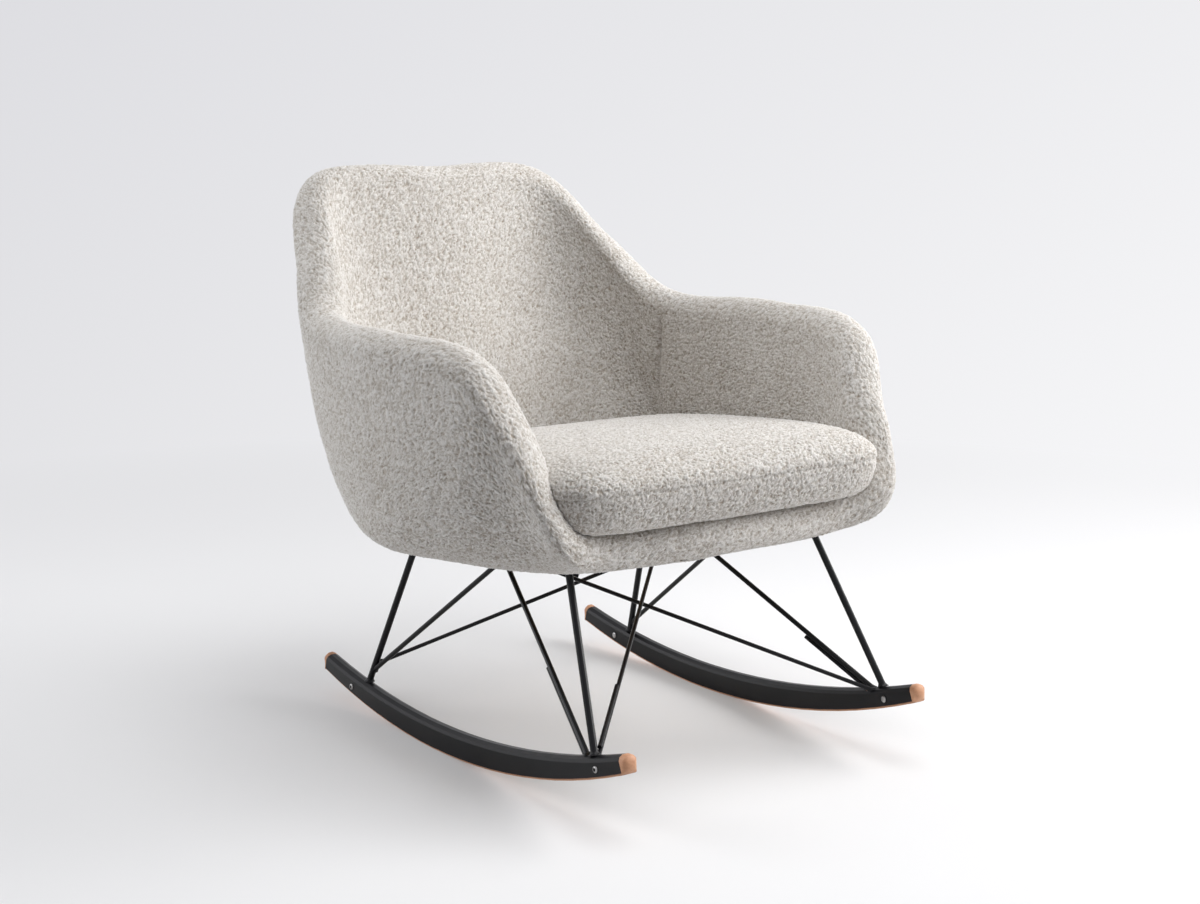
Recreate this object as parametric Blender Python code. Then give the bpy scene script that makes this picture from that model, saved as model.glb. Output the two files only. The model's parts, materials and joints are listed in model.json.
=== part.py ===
"""Upholstered rocking chair: a foam bucket seat with a loose cushion on a rod base and two rockers.

Metres, +Z up. The chair faces -Y, and its left is +X. Only the cross braces differ from side to side.
Heights are measured from the floor, and depths from the line on which the rockers stand.
"""
import math
from collections import namedtuple

import bmesh
import bpy
from mathutils import Matrix, Vector

# Clearance between pieces that touch
GAP = 0.0003

# Rockers: a black steel channel, round on top, over a wooden runner
ROCKER_RADIUS = 1.169
ROCKER_CENTRE_X = 0.231
ROCKER_REAR_Y = 0.285
ROCKER_FRONT_Y = -0.445
ROCKER_STEPS = 20
CONTACT_HALF_LENGTH = 0.016
CHANNEL_WIDTH = 0.0210
CHANNEL_WALL = 0.0015
CHANNEL_MID_HEIGHT = 0.035
CHANNEL_END_HEIGHT = 0.0235
CHANNEL_ROUND_RISE = 0.007
RUNNER_SHOWS_BELOW = 0.0025
TIP_SHOULDER = 0.0015
TIP_DOME = 0.0100
TIP_STANDS_UP = 0.0008

# Sleeve bolts through the channel and the runner
SLEEVE_BOLT_REAR_Y = 0.207
SLEEVE_BOLT_FRONT_Y = -0.397
SLEEVE_BOLT_RISE = 0.0115
SLEEVE_BOLT_RADIUS = 0.0022
SLEEVE_BOLT_LENGTH = 0.0130
SLEEVE_NUT_RADIUS = 0.0034
SLEEVE_HEAD_RADIUS = 0.0042
SLEEVE_HEAD_HEIGHT = 0.0016

# Rods of the base
LEG_RADIUS = 0.0046
SIDE_BRACE_RADIUS = 0.0034
BRACE_RADIUS = 0.00275
ROD_SIDES = 12

# Seat plane: it falls towards the back
SEAT_PITCH = math.radians(3.0)
UNDERSIDE_HEIGHT = 0.2738
FRAME_RECESS = 0.008
RAIL_THICKNESS = 0.004
PANEL_THICKNESS = 0.012
SHELL_THICKNESS = 0.006
DECK_FOAM = 0.0247
PANEL_EDGE_FOAM = 0.005

# Flat bars under the panel
SIDE_RAIL_X = 0.1895
SIDE_RAIL_WIDTH = 0.031
SIDE_RAIL_FRONT_Y = -0.275
SIDE_RAIL_REAR_Y = 0.088
CROSS_RAIL_WIDTH = 0.030
CROSS_RAIL_FRONT_Y = -0.200
CROSS_RAIL_REAR_Y = -0.010

# Frame bolts and the tee nuts that they turn into
BOLT_PLACES = ((0.190, -0.235), (0.190, -0.045))
BOLT_RADIUS = 0.0030
BOLT_HEAD_RADIUS = 0.0055
BOLT_HEAD_HEIGHT = 0.0035
BOLT_HOLE_CLEARANCE = 0.0006
TEE_BARREL_RADIUS = 0.0045
TEE_FLANGE_RADIUS = 0.0090
TEE_FLANGE_THICKNESS = 0.0012
TEE_BARREL_LENGTH = 0.0090

# Bucket
BUCKET_STEPS = 26
BOARD_SHARE_FRONT = 0.35
BOARD_SHARE_BACK = 0.86
BOARD_FULL_CLIMB = 0.30
BOARD_ROWS = 7
RIM_ROWS = 2

# Cushion
CUSHION_SEAM_RISE = 0.044
CUSHION_CROWN = 0.084
CUSHION_CENTRE_Y = -0.090
CUSHION_SIDE_DRAW = 0.004

# One station of the bucket's rim: the centre and the width of the rolled rim, the corner of the
# flat underside, how far the belly and the wall run straight, the wall's lean in degrees, the
# corner of the deck under the cushion, and the way that the wall faces, in degrees from -Y to +X.
Station = namedtuple("Station", "rim roll foot belly wall lean deck turn")

STATIONS = (
    Station((0.000, -0.325, 0.318), 0.052, (0.000, -0.301), 0.028, 0.000, 48.5, (0.000, -0.294), 0),
    Station((0.174, -0.317, 0.318), 0.052, (0.152, -0.297), 0.020, 0.000, 47.0, (0.160, -0.291), 14),
    Station((0.246, -0.333, 0.349), 0.056, (0.208, -0.283), 0.013, 0.014, 26.6, (0.220, -0.290), 45),
    Station((0.272, -0.285, 0.445), 0.060, (0.235, -0.215), 0.068, 0.085, 13.4, (0.240, -0.214), 70),
    Station((0.302, -0.220, 0.526), 0.060, (0.242, -0.130), 0.117, 0.154, 4.9, (0.244, -0.126), 82),
    Station((0.318, -0.047, 0.537), 0.060, (0.243, -0.031), 0.132, 0.210, 6.7, (0.243, -0.020), 90),
    Station((0.287, 0.161, 0.540), 0.060, (0.228, 0.066), 0.091, 0.164, 4.9, (0.231, 0.086), 104),
    Station((0.247, 0.261, 0.617), 0.060, (0.180, 0.134), 0.092, 0.196, 9.5, (0.192, 0.150), 126),
    Station((0.185, 0.370, 0.720), 0.055, (0.094, 0.166), 0.102, 0.218, 11.7, (0.100, 0.168), 155),
    Station((0.000, 0.374, 0.726), 0.055, (0.000, 0.175), 0.106, 0.220, 15.1, (0.000, 0.172), 180),
)

# Half of the cushion's plan outline at its seam, from front centre to back centre
CUSHION_PLAN = (
    (0.000, -0.360), (0.110, -0.359), (0.178, -0.345), (0.212, -0.305), (0.226, -0.220),
    (0.236, -0.120), (0.236, -0.020), (0.224, 0.078), (0.180, 0.140), (0.100, 0.161), (0.000, 0.165),
)

# Legs: foot on the rocker and top under the side rail
Leg = namedtuple("Leg", "name foot top")

LEGS = (
    Leg("rear_leg", (0.2285, 0.1755), (0.195, 0.0795)),
    Leg("front_leg", (0.2325, -0.3790), (0.195, -0.2695)),
)

# Braces from the top of a rocker to the frame
Brace = namedtuple("Brace", "name foot top")

ROCKER_BRACES = (
    Brace("front_side_brace_right", (-0.2300, -0.3608), (-0.138, -0.0100)),
    Brace("front_side_brace_left", (0.2300, -0.3604), (0.138, -0.0115)),
    Brace("cross_brace_right_foot", (-0.2230, -0.3734), (0.190, 0.0259)),
    Brace("cross_brace_left_foot", (0.2230, -0.3672), (-0.177, 0.0690)),
)

# Braces from the side of a rear leg to the frame: the leg's side, the height on it, and the top
LEG_BRACES = (
    ("rear_side_brace_right", -1, 0.0590, (-0.199, -0.1520)),
    ("rear_side_brace_left", 1, 0.0570, (0.199, -0.1500)),
    ("cross_brace_rear", -1, 0.0700, (0.176, -0.1561)),
)

# Short rods along a brace: the brace, where they start and stop on it, and above (1) or below (-1)
DOUBLERS = (
    ("doubler_front_right", "front_side_brace_right", 0.0, 0.375, -1),
    ("doubler_front_left", "front_side_brace_left", 0.0, 0.285, -1),
    ("doubler_cross_foot", "cross_brace_right_foot", 0.014, 0.220, 1),
    ("doubler_cross_top", "cross_brace_left_foot", 0.670, 1.0, 1),
)

# Colours: base colour, roughness, metallic
FINISHES = {
    "cover": ((0.66, 0.61, 0.55), 0.95, 0.0),
    "cushion_cover": ((0.67, 0.62, 0.56), 0.95, 0.0),
    "shell_board": ((0.10, 0.10, 0.10), 0.70, 0.0),
    "plywood": ((0.55, 0.40, 0.25), 0.60, 0.0),
    "black_steel": ((0.015, 0.015, 0.016), 0.38, 0.4),
    "beech": ((0.60, 0.33, 0.19), 0.50, 0.0),
    "zinc": ((0.45, 0.45, 0.46), 0.35, 1.0),
}


def clear_scene():
    """Remove whatever the open file holds."""
    for obj in list(bpy.data.objects):
        bpy.data.objects.remove(obj, do_unlink=True)


def finish(name):
    """Return the named material, made on first use."""
    material = bpy.data.materials.get(name)
    if material is None:
        colour, roughness, metallic = FINISHES[name]
        material = bpy.data.materials.new(name)
        material.use_nodes = True
        shader = material.node_tree.nodes["Principled BSDF"]
        shader.inputs["Base Color"].default_value = (*colour, 1.0)
        shader.inputs["Roughness"].default_value = roughness
        shader.inputs["Metallic"].default_value = metallic
        material.diffuse_color = (*colour, 1.0)
    return material


def new_object(name, points, faces, material, matrix=None):
    """Make one closed object; without a matrix, its origin goes to its middle."""
    if matrix is None:
        low = [min(p[k] for p in points) for k in range(3)]
        high = [max(p[k] for p in points) for k in range(3)]
        middle = (Vector(low) + Vector(high)) / 2
        points = [p - middle for p in points]
        matrix = Matrix.Translation(middle)
    mesh = bpy.data.meshes.new(name)
    mesh.from_pydata([tuple(p) for p in points], [], faces)
    shape = bmesh.new()
    shape.from_mesh(mesh)
    bmesh.ops.recalc_face_normals(shape, faces=shape.faces)
    shape.to_mesh(mesh)
    shape.free()
    mesh.materials.append(finish(material))
    mesh.shade_smooth()
    mesh.set_sharp_from_angle(angle=math.radians(40))
    obj = bpy.data.objects.new(name, mesh)
    obj.matrix_world = matrix
    bpy.context.scene.collection.objects.link(obj)
    return obj


def loft(name, rings, material, matrix=None, ring_closed=True, path_closed=False):
    """Skin equal rings of points, and close whatever is left open with flat faces."""
    size = len(rings[0])
    count = len(rings)
    points = [p for ring in rings for p in ring]
    faces = []
    for i in range(count if path_closed else count - 1):
        here = i * size
        there = ((i + 1) % count) * size
        for j in range(size if ring_closed else size - 1):
            k = (j + 1) % size
            faces.append((here + j, here + k, there + k, there + j))
    if not path_closed:
        faces.append(tuple(range(size)))
        faces.append(tuple(range((count - 1) * size, count * size)))
    elif not ring_closed:
        faces.append(tuple(i * size for i in range(count)))
        faces.append(tuple(i * size + size - 1 for i in range(count)))
    return new_object(name, points, faces, material, matrix)


def bucket_skin(name, sections, turn, closed, material):
    """Skin the bucket's sections in triangles that lie alike on every layer.

    The sections run upwards as far as the point numbered turn, and downwards from there on."""
    size = len(sections[0])
    count = len(sections)
    points = [p for section in sections for p in section]
    faces = []
    for i in range(count):
        here = i * size
        there = ((i + 1) % count) * size
        mirrored = i >= count // 2
        for j in range(size if closed else size - 1):
            k = (j + 1) % size
            a, b, c, d = here + j, here + k, there + k, there + j
            if (j < turn) != mirrored:
                faces += [(a, b, c), (a, c, d)]
            else:
                faces += [(a, b, d), (b, c, d)]
    if not closed:
        faces.append(tuple(i * size for i in range(count)))
        faces.append(tuple(i * size + size - 1 for i in range(count)))
    return new_object(name, points, faces, material)


def drill(target, cutter):
    """Cut the cutter out of the target and keep it as a hidden guide."""
    cutter.hide_render = True
    cutter.display_type = "WIRE"
    cut = target.modifiers.new("cut", "BOOLEAN")
    cut.operation = "DIFFERENCE"
    cut.solver = "EXACT"
    cut.object = cutter


def turned(name, profile, material, matrix, closed=False, segments=16):
    """Turn a profile of (radius, height) points about a local Z axis placed by the matrix."""
    rings = []
    for i in range(segments):
        angle = 2 * math.pi * i / segments
        rings.append([Vector((r * math.cos(angle), r * math.sin(angle), z)) for r, z in profile])
    return loft(name, rings, material, matrix, ring_closed=closed, path_closed=True)


# Heights of the seat's layers above its underside
RAIL_BOTTOM = FRAME_RECESS
RAIL_TOP = RAIL_BOTTOM + RAIL_THICKNESS
PANEL_BOTTOM = RAIL_TOP + GAP
PANEL_TOP = PANEL_BOTTOM + PANEL_THICKNESS
SHELL_BOTTOM = PANEL_TOP + GAP
SHELL_FLOOR = SHELL_BOTTOM + SHELL_THICKNESS
DECK_BOTTOM = SHELL_FLOOR + GAP
DECK_TOP = DECK_BOTTOM + DECK_FOAM
CUSHION_BOTTOM = DECK_TOP + GAP


def on_seat(x, y, rise):
    """A point at a height above the bucket's flat underside."""
    return Vector((x, y, UNDERSIDE_HEIGHT - math.tan(SEAT_PITCH) * y + rise))


def seat_frame(x, y, rise):
    """A local frame whose Z stands square on the seat plane at x and y, moved up to a layer."""
    up = Matrix.Translation((0, 0, rise * math.cos(SEAT_PITCH)))
    return Matrix.Translation(on_seat(x, y, 0.0)) @ Matrix.Rotation(-SEAT_PITCH, 4, "X") @ up


# Bucket


def smooth_mix(p, q, r, s, f):
    """Smooth curve through q and r, shaped by the values before and after them."""
    return 0.5 * (2 * q + (r - p) * f + (2 * p - 5 * q + 4 * r - s) * f * f
                  + (3 * q - p - 3 * r + s) * f ** 3)


def along_keys(keys, u):
    """Smooth values at u along keys that are mirrored about X = 0 at both ends."""
    last = len(keys) - 1
    i = min(int(u), last - 1)
    before = keys[i - 1] if i > 0 else mirror_key(keys[1])
    after = keys[i + 2] if i + 2 <= last else mirror_key(keys[last - 1])
    return [smooth_mix(*values, u - i) for values in zip(before, keys[i], keys[i + 1], after)]


def mirror_key(key):
    """The first three values of a key are the ones that change sign from side to side."""
    return tuple(-v for v in key[:3]) + tuple(key[3:])


def curve_point(a, b, c, d, t):
    """Point on the cubic curve from a to d that b and c shape."""
    s = 1 - t
    return a * s ** 3 + b * (3 * s * s * t) + c * (3 * s * t * t) + d * t ** 3


Wall = namedtuple("Wall", "centre outward along across roll foot deck belly wall")


def wall_at(u):
    """Interpolate the stations and set up the wall's own directions."""
    keys = []
    for s in STATIONS:
        keys.append((s.rim[0], s.foot[0], s.deck[0], s.rim[1], s.rim[2], s.roll, s.foot[1], s.belly,
                     s.wall, s.lean, s.deck[1]))
    v = along_keys(keys, u)
    last = len(STATIONS) - 1
    turns = [-STATIONS[1].turn] + [s.turn for s in STATIONS] + [360 - STATIONS[last - 1].turn]
    i = min(int(u), last - 1)
    angle = math.radians(smooth_mix(*turns[i:i + 4], u - i))
    outward = Vector((math.sin(angle), -math.cos(angle), 0.0))
    lean = math.radians(v[9])
    up = Vector((0, 0, 1))
    along = up * math.cos(lean) + outward * math.sin(lean)
    across = outward * math.cos(lean) - up * math.sin(lean)
    return Wall(Vector((v[0], v[3], v[4])), outward, along, across, v[5], on_seat(v[1], v[6], 0.0),
                on_seat(v[2], v[10], DECK_TOP), v[7], v[8])


def full_turn():
    """Walls all the way round the bucket, the right half mirrored from the left."""
    last = len(STATIONS) - 1
    half = [wall_at(last * i / BUCKET_STEPS) for i in range(BUCKET_STEPS + 1)]
    other = []
    for w in half[-2:0:-1]:
        flipped = [Vector((-v.x, v.y, v.z)) if isinstance(v, Vector) else v for v in w]
        other.append(Wall(*flipped))
    return half + other


def inset_foot(w, inset, rise):
    """The underside's corner moved inwards, at a height above the underside."""
    place = w.foot - w.outward * inset
    return on_seat(place.x, place.y, rise)


def middle_curve(w, t):
    """Line along which the outer pad meets the board, and above it the inner pad."""
    low = inset_foot(w, 0.0, SHELL_BOTTOM)
    return curve_point(low, low + w.outward * (w.belly * 0.84), w.centre - w.along * (w.wall * 0.9), w.centre, t)


def middle_grid(walls):
    """Rows of points and outward normals, from the foot past the board's edge to the rim's top."""
    rows = []
    for w in walls:
        share = min(max((w.centre.z - w.foot.z) / BOARD_FULL_CLIMB, 0.0), 1.0)
        top = BOARD_SHARE_FRONT + (BOARD_SHARE_BACK - BOARD_SHARE_FRONT) * share * share * (3 - 2 * share)
        speed = (middle_curve(w, top + 0.001) - middle_curve(w, top)).length / 0.001
        above = top + 2 * GAP / speed
        shares = [top * j / BOARD_ROWS for j in range(BOARD_ROWS + 1)]
        shares += [above + (1 - above) * j / RIM_ROWS for j in range(RIM_ROWS + 1)]
        rows.append([middle_curve(w, t) for t in shares] + [rim_point(w, 90)])
    grid = []
    for i, w in enumerate(walls):
        before = rows[i - 1]
        after = rows[(i + 1) % len(rows)]
        column = []
        for j, point in enumerate(rows[i]):
            rise = rows[i][min(j + 1, len(rows[i]) - 1)] - rows[i][max(j - 1, 0)]
            normal = rise.cross(after[j] - before[j]).normalized()
            if normal.dot(w.outward - w.along) < 0:
                normal = -normal
            if j == BOARD_ROWS + 1:
                # The pad turns over the board's edge square to it
                normal = column[BOARD_ROWS][1]
            column.append((point, normal))
        grid.append(column)
    return grid


def layer(column, row, depth):
    """A point of a layer that lies a depth inside of the middle grid."""
    point, normal = column[row]
    if row == 0:
        return on_seat(point.x, point.y, SHELL_BOTTOM + depth)
    return point - normal * depth


def outer_curve(w, t):
    """Outside of the cover, from the underside's corner to the rim's outer side."""
    top = w.centre + w.across * (w.roll / 2)
    return curve_point(w.foot, w.foot + w.outward * w.belly, top - w.along * w.wall, top, t)


def inner_curve(w, t):
    """Inside of the cover, from the rim's inner side down to the deck's corner."""
    top = w.centre - w.across * (w.roll / 2)
    fall = (top - w.deck).length
    climb = max(top.z - w.deck.z, 0.0)
    low = w.deck + Vector((0, 0, climb * 0.16)) + w.outward * (climb * 0.09)
    return curve_point(top, top - w.along * (fall * 0.36), low, w.deck, t)


def rim_point(w, degrees):
    """A point on the rolled rim: 0 is its outer side, 90 its top and 180 its inner side."""
    angle = math.radians(degrees)
    side = w.across * (math.cos(angle) * w.roll / 2)
    return w.centre + side + w.along * (math.sin(angle) * w.roll / 2)


def build_outer_pad(walls, grid):
    """Foam and cover on the outside of the bucket, open underneath round the panel."""
    sections = []
    for w, column in zip(walls, grid):
        section = [outer_curve(w, i / 9) for i in range(10)]
        section += [rim_point(w, 30), rim_point(w, 60)]
        section += [layer(column, row, -GAP) for row in range(len(column) - 1, -1, -1)]
        section += [inset_foot(w, PANEL_EDGE_FOAM, SHELL_BOTTOM - GAP), inset_foot(w, PANEL_EDGE_FOAM, 0.0)]
        sections.append(section)
    return bucket_skin("outer_upholstery", sections, 12, True, "cover")


def build_board(grid):
    """Moulded board between the two pads, from under the deck to below the rolled rim."""
    sections = []
    for column in grid:
        section = [layer(column, row, 0.0) for row in range(BOARD_ROWS + 1)]
        section += [layer(column, row, SHELL_THICKNESS) for row in range(BOARD_ROWS, -1, -1)]
        sections.append(section)
    return bucket_skin("bucket_shell", sections, BOARD_ROWS, False, "shell_board")


def build_inner_pad(walls, grid):
    """Foam and cover on the inside of the bucket, with the deck that the cushion lies on."""
    sections = []
    for w, column in zip(walls, grid):
        section = [layer(column, row, SHELL_THICKNESS + GAP) for row in range(BOARD_ROWS + 2)]
        section += [layer(column, row, 0.0) for row in range(BOARD_ROWS + 1, len(column))]
        turn = len(section) - 1
        section += [rim_point(w, 120), rim_point(w, 150)]
        section += [inner_curve(w, i / 8) for i in range(9)]
        sections.append(section)
    return bucket_skin("inner_upholstery", sections, turn, False, "cover")


def bolt_places():
    """Centres of the frame bolts on both sides."""
    return [(x * side, y) for x, y in BOLT_PLACES for side in (-1, 1)]


def build_panel(walls):
    """Plywood panel in the opening of the underside, drilled for the tee nuts."""
    inset = PANEL_EDGE_FOAM + GAP
    low = [inset_foot(w, inset, PANEL_BOTTOM) for w in walls]
    high = [inset_foot(w, inset, PANEL_TOP) for w in walls]
    panel = loft("base_panel", [low, high], "plywood")
    barrel = TEE_BARREL_RADIUS + GAP
    flange = TEE_FLANGE_RADIUS + GAP
    seat = -TEE_FLANGE_THICKNESS - GAP
    profile = [(barrel, -2 * PANEL_THICKNESS), (barrel, seat), (flange, seat), (flange, PANEL_THICKNESS)]
    for n, (x, y) in enumerate(bolt_places()):
        drill(panel, turned("panel_drill_%d" % n, profile, "plywood", seat_frame(x, y, PANEL_TOP)))


# Cushion


def cushion_outline():
    """Plan outline of the cushion all the way round, at its seam."""
    last = len(CUSHION_PLAN) - 1
    keys = [(x, 0.0, 0.0, y) for x, y in CUSHION_PLAN]
    half = []
    for i in range(BUCKET_STEPS + 1):
        v = along_keys(keys, last * i / BUCKET_STEPS)
        half.append(Vector((v[0], v[3])))
    return half + [Vector((-p.x, p.y)) for p in half[-2:0:-1]]


def build_cushion():
    """Loose cushion: flat below, sides drawn in between the corners, seamed, with a crowned top."""
    centre = Vector((0.0, CUSHION_CENTRE_Y))
    crown = CUSHION_CROWN - CUSHION_SEAM_RISE
    # How far each ring stands in from the outline, as a share, and its height above the deck
    rings = ((0.15, 0.0), (0.075, 0.003), (0.030, 0.011), (0.004, 0.024), (0.0, 0.036),
             (0.012, CUSHION_SEAM_RISE), (0.035, CUSHION_SEAM_RISE + 0.30 * crown),
             (0.11, CUSHION_SEAM_RISE + 0.60 * crown), (0.25, CUSHION_SEAM_RISE + 0.81 * crown),
             (0.45, CUSHION_SEAM_RISE + 0.93 * crown), (0.72, CUSHION_SEAM_RISE + 0.99 * crown))
    loops = []
    for number, (inset, rise) in enumerate(rings):
        loop = []
        for p in cushion_outline():
            away = p - centre
            straight = 1 - abs(away.x * away.y) / (away.length_squared * 0.5)
            draw = CUSHION_SIDE_DRAW * straight if number < 7 else 0.0
            q = centre + away * (1 - inset) - away.normalized() * draw
            loop.append(on_seat(q.x, q.y, CUSHION_BOTTOM + rise))
        loops.append(loop)
    cushion = loft("seat_cushion", loops, "cushion_cover")
    return cushion


# Frame under the seat


def bar(name, xs, ys):
    """Flat bar that lies on the seat plane."""
    rings = []
    for rise in (RAIL_BOTTOM, RAIL_TOP):
        corners = ((xs[0], ys[0]), (xs[1], ys[0]), (xs[1], ys[1]), (xs[0], ys[1]))
        rings.append([on_seat(x, y, rise) for x, y in corners])
    return loft(name, rings, "black_steel")


def build_rails():
    """Two side bars and two cross bars, welded flush and drilled for the frame bolts."""
    half = SIDE_RAIL_WIDTH / 2
    side_rails = {}
    for side, word in ((-1, "right"), (1, "left")):
        xs = sorted((side * (SIDE_RAIL_X - half), side * (SIDE_RAIL_X + half)))
        side_rails[side] = bar("frame_side_rail_" + word, xs, (SIDE_RAIL_FRONT_Y, SIDE_RAIL_REAR_Y))
    reach = SIDE_RAIL_X - half - GAP
    for y, word in ((CROSS_RAIL_FRONT_Y, "front"), (CROSS_RAIL_REAR_Y, "rear")):
        bar("frame_cross_rail_" + word, (-reach, reach), (y - CROSS_RAIL_WIDTH / 2, y + CROSS_RAIL_WIDTH / 2))
    radius = BOLT_RADIUS + BOLT_HOLE_CLEARANCE
    profile = [(radius, -0.004), (radius, RAIL_THICKNESS + 0.004)]
    for n, (x, y) in enumerate(bolt_places()):
        cutter = turned("rail_drill_%d" % n, profile, "zinc", seat_frame(x, y, RAIL_BOTTOM))
        drill(side_rails[1 if x > 0 else -1], cutter)


def build_frame_bolts():
    """Button bolts from below, and flanged tee nuts let into the panel's top."""
    head = BOLT_HEAD_RADIUS
    tall = BOLT_HEAD_HEIGHT
    tip = RAIL_THICKNESS + PANEL_THICKNESS - TEE_FLANGE_THICKNESS
    bolt = [(head * 0.45, -tall), (head * 0.8, -tall * 0.85), (head, -tall * 0.4), (head, 0.0),
            (BOLT_RADIUS, 0.0), (BOLT_RADIUS, tip)]
    bore = BOLT_RADIUS + GAP
    tee = [(bore, 0.0), (TEE_FLANGE_RADIUS, 0.0), (TEE_FLANGE_RADIUS, -TEE_FLANGE_THICKNESS),
           (TEE_BARREL_RADIUS, -TEE_FLANGE_THICKNESS), (TEE_BARREL_RADIUS, -TEE_BARREL_LENGTH),
           (bore, -TEE_BARREL_LENGTH)]
    for n, (x, y) in enumerate(bolt_places()):
        turned("frame_bolt_%d" % (n + 1), bolt, "zinc", seat_frame(x, y, RAIL_BOTTOM - GAP))
        turned("tee_nut_%d" % (n + 1), tee, "zinc", seat_frame(x, y, PANEL_TOP), closed=True)


# Rockers


def rocker_angles():
    """Angles of the rocker's sections, with one flat facet where it stands."""
    rear = math.asin(ROCKER_REAR_Y / ROCKER_RADIUS)
    front = math.asin(ROCKER_FRONT_Y / ROCKER_RADIUS)
    flat = math.asin(CONTACT_HALF_LENGTH / ROCKER_RADIUS)
    step = (rear - front) / ROCKER_STEPS
    behind = max(round((rear - flat) / step), 1)
    ahead = max(round((-front - flat) / step), 1)
    angles = [front + (-flat - front) * i / ahead for i in range(ahead + 1)]
    return angles + [flat + (rear - flat) * i / behind for i in range(behind + 1)]


def rocker_height(angle):
    """Height of the rocker's section: greatest at mid length, and less at both tips."""
    rear = math.asin(ROCKER_REAR_Y / ROCKER_RADIUS)
    front = math.asin(ROCKER_FRONT_Y / ROCKER_RADIUS)
    share = (angle - (rear + front) / 2) / ((rear - front) / 2)
    return CHANNEL_END_HEIGHT + (CHANNEL_MID_HEIGHT - CHANNEL_END_HEIGHT) * (1 - share * share)


def arch(half, low, high, rise):
    """Section points: up one side, over a rounded top and down the other side."""
    points = [(-half, low)]
    crown = math.sin(math.radians(72))
    for degrees in (0, 36, 72, 108, 144, 180):
        a = math.radians(degrees)
        points.append((-half * math.cos(a), high - rise + rise * math.sin(a) / crown))
    points.append((half, low))
    return points


def rocker_point(x, angle, rise):
    """A point at an angle along the rocker's arc, at a rise above its lower line."""
    radius = ROCKER_RADIUS - rise
    flat = math.asin(CONTACT_HALF_LENGTH / ROCKER_RADIUS)
    lower = ROCKER_RADIUS if abs(angle) > flat * 1.001 else ROCKER_RADIUS * math.cos(flat)
    return Vector((x, radius * math.sin(angle), lower - radius * math.cos(angle)))


def channel_outline(angle):
    """Outside of the channel's section at an angle along the arc."""
    return arch(CHANNEL_WIDTH / 2, RUNNER_SHOWS_BELOW, rocker_height(angle), CHANNEL_ROUND_RISE)


def channel_corner(x, number, y):
    """A corner of the channel's outside at depth y, on the straight run between two sections."""
    rings = [rocker_point(x + channel_outline(a)[number][0], a, channel_outline(a)[number][1])
             for a in rocker_angles()]
    for p, q in zip(rings, rings[1:]):
        if p.y <= y <= q.y:
            return p.lerp(q, (y - p.y) / (q.y - p.y))
    return rings[0] if y < rings[0].y else rings[-1]


def foot_plane(x, y, reach):
    """Point and normal of the plane on which a rod's foot stands on the channel."""
    centre_x = math.copysign(ROCKER_CENTRE_X, x)
    across = x - centre_x
    flat = abs(channel_outline(0.0)[3][0])
    if abs(across) <= flat * 1.3:
        corners = (3, 4)
    else:
        corners = (4, 5) if across > 0 else (2, 3)
    a = channel_corner(centre_x, corners[0], y - reach)
    b = channel_corner(centre_x, corners[1], y - reach)
    c = channel_corner(centre_x, corners[0], y + reach)
    normal = (b - a).cross(c - a).normalized()
    if normal.z < 0:
        normal = -normal
    height = a.z - (normal.x * (x - a.x) + normal.y * (y - a.y)) / normal.z
    return Vector((x, y, height)) + normal * (GAP + 0.0001), normal


def sleeve_frame(side, y, way):
    """Axis of a sleeve bolt, its Z pointing to +X or -X."""
    angle = math.asin(y / ROCKER_RADIUS)
    centre = rocker_point(side * ROCKER_CENTRE_X, angle, SLEEVE_BOLT_RISE)
    return Matrix.Translation(centre) @ Matrix.Rotation(math.radians(90) * way, 4, "Y")


def tip_rings(x, end):
    """The runner's bare tip past the channel's end: a full-size shoulder and a dome."""
    angle = math.asin((ROCKER_REAR_Y if end > 0 else ROCKER_FRONT_Y) / ROCKER_RADIUS)
    high = CHANNEL_END_HEIGHT
    half = CHANNEL_WIDTH / 2
    along = Vector((0.0, math.cos(angle), math.sin(angle))) * end
    base = arch(half - CHANNEL_WALL - GAP, 0.0, high - CHANNEL_WALL - GAP,
                CHANNEL_ROUND_RISE - CHANNEL_WALL)
    centre = rocker_point(x, angle, high / 2)
    rings = [[rocker_point(x + u, angle, v) + along * GAP for u, v in base]]
    for advance, size in [(0.0, 1.0), (TIP_SHOULDER, 1.0)] + [dome_step(i) for i in range(1, 5)]:
        ring = []
        for u, v in arch(half, TIP_STANDS_UP, high, CHANNEL_ROUND_RISE):
            flat = rocker_point(x + u, angle, v) - centre
            # The corners of the section round off towards the tip
            oval = flat.normalized() * (half + high / 2) / 2
            ring.append(centre + flat.lerp(oval, 1 - size * size) * size + along * (GAP + advance))
        rings.append(ring)
    return rings


def dome_step(number):
    """Advance and size of one ring of a tip's dome."""
    angle = math.radians(20 * number)
    return TIP_SHOULDER + TIP_DOME * math.sin(angle), math.cos(angle)


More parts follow.
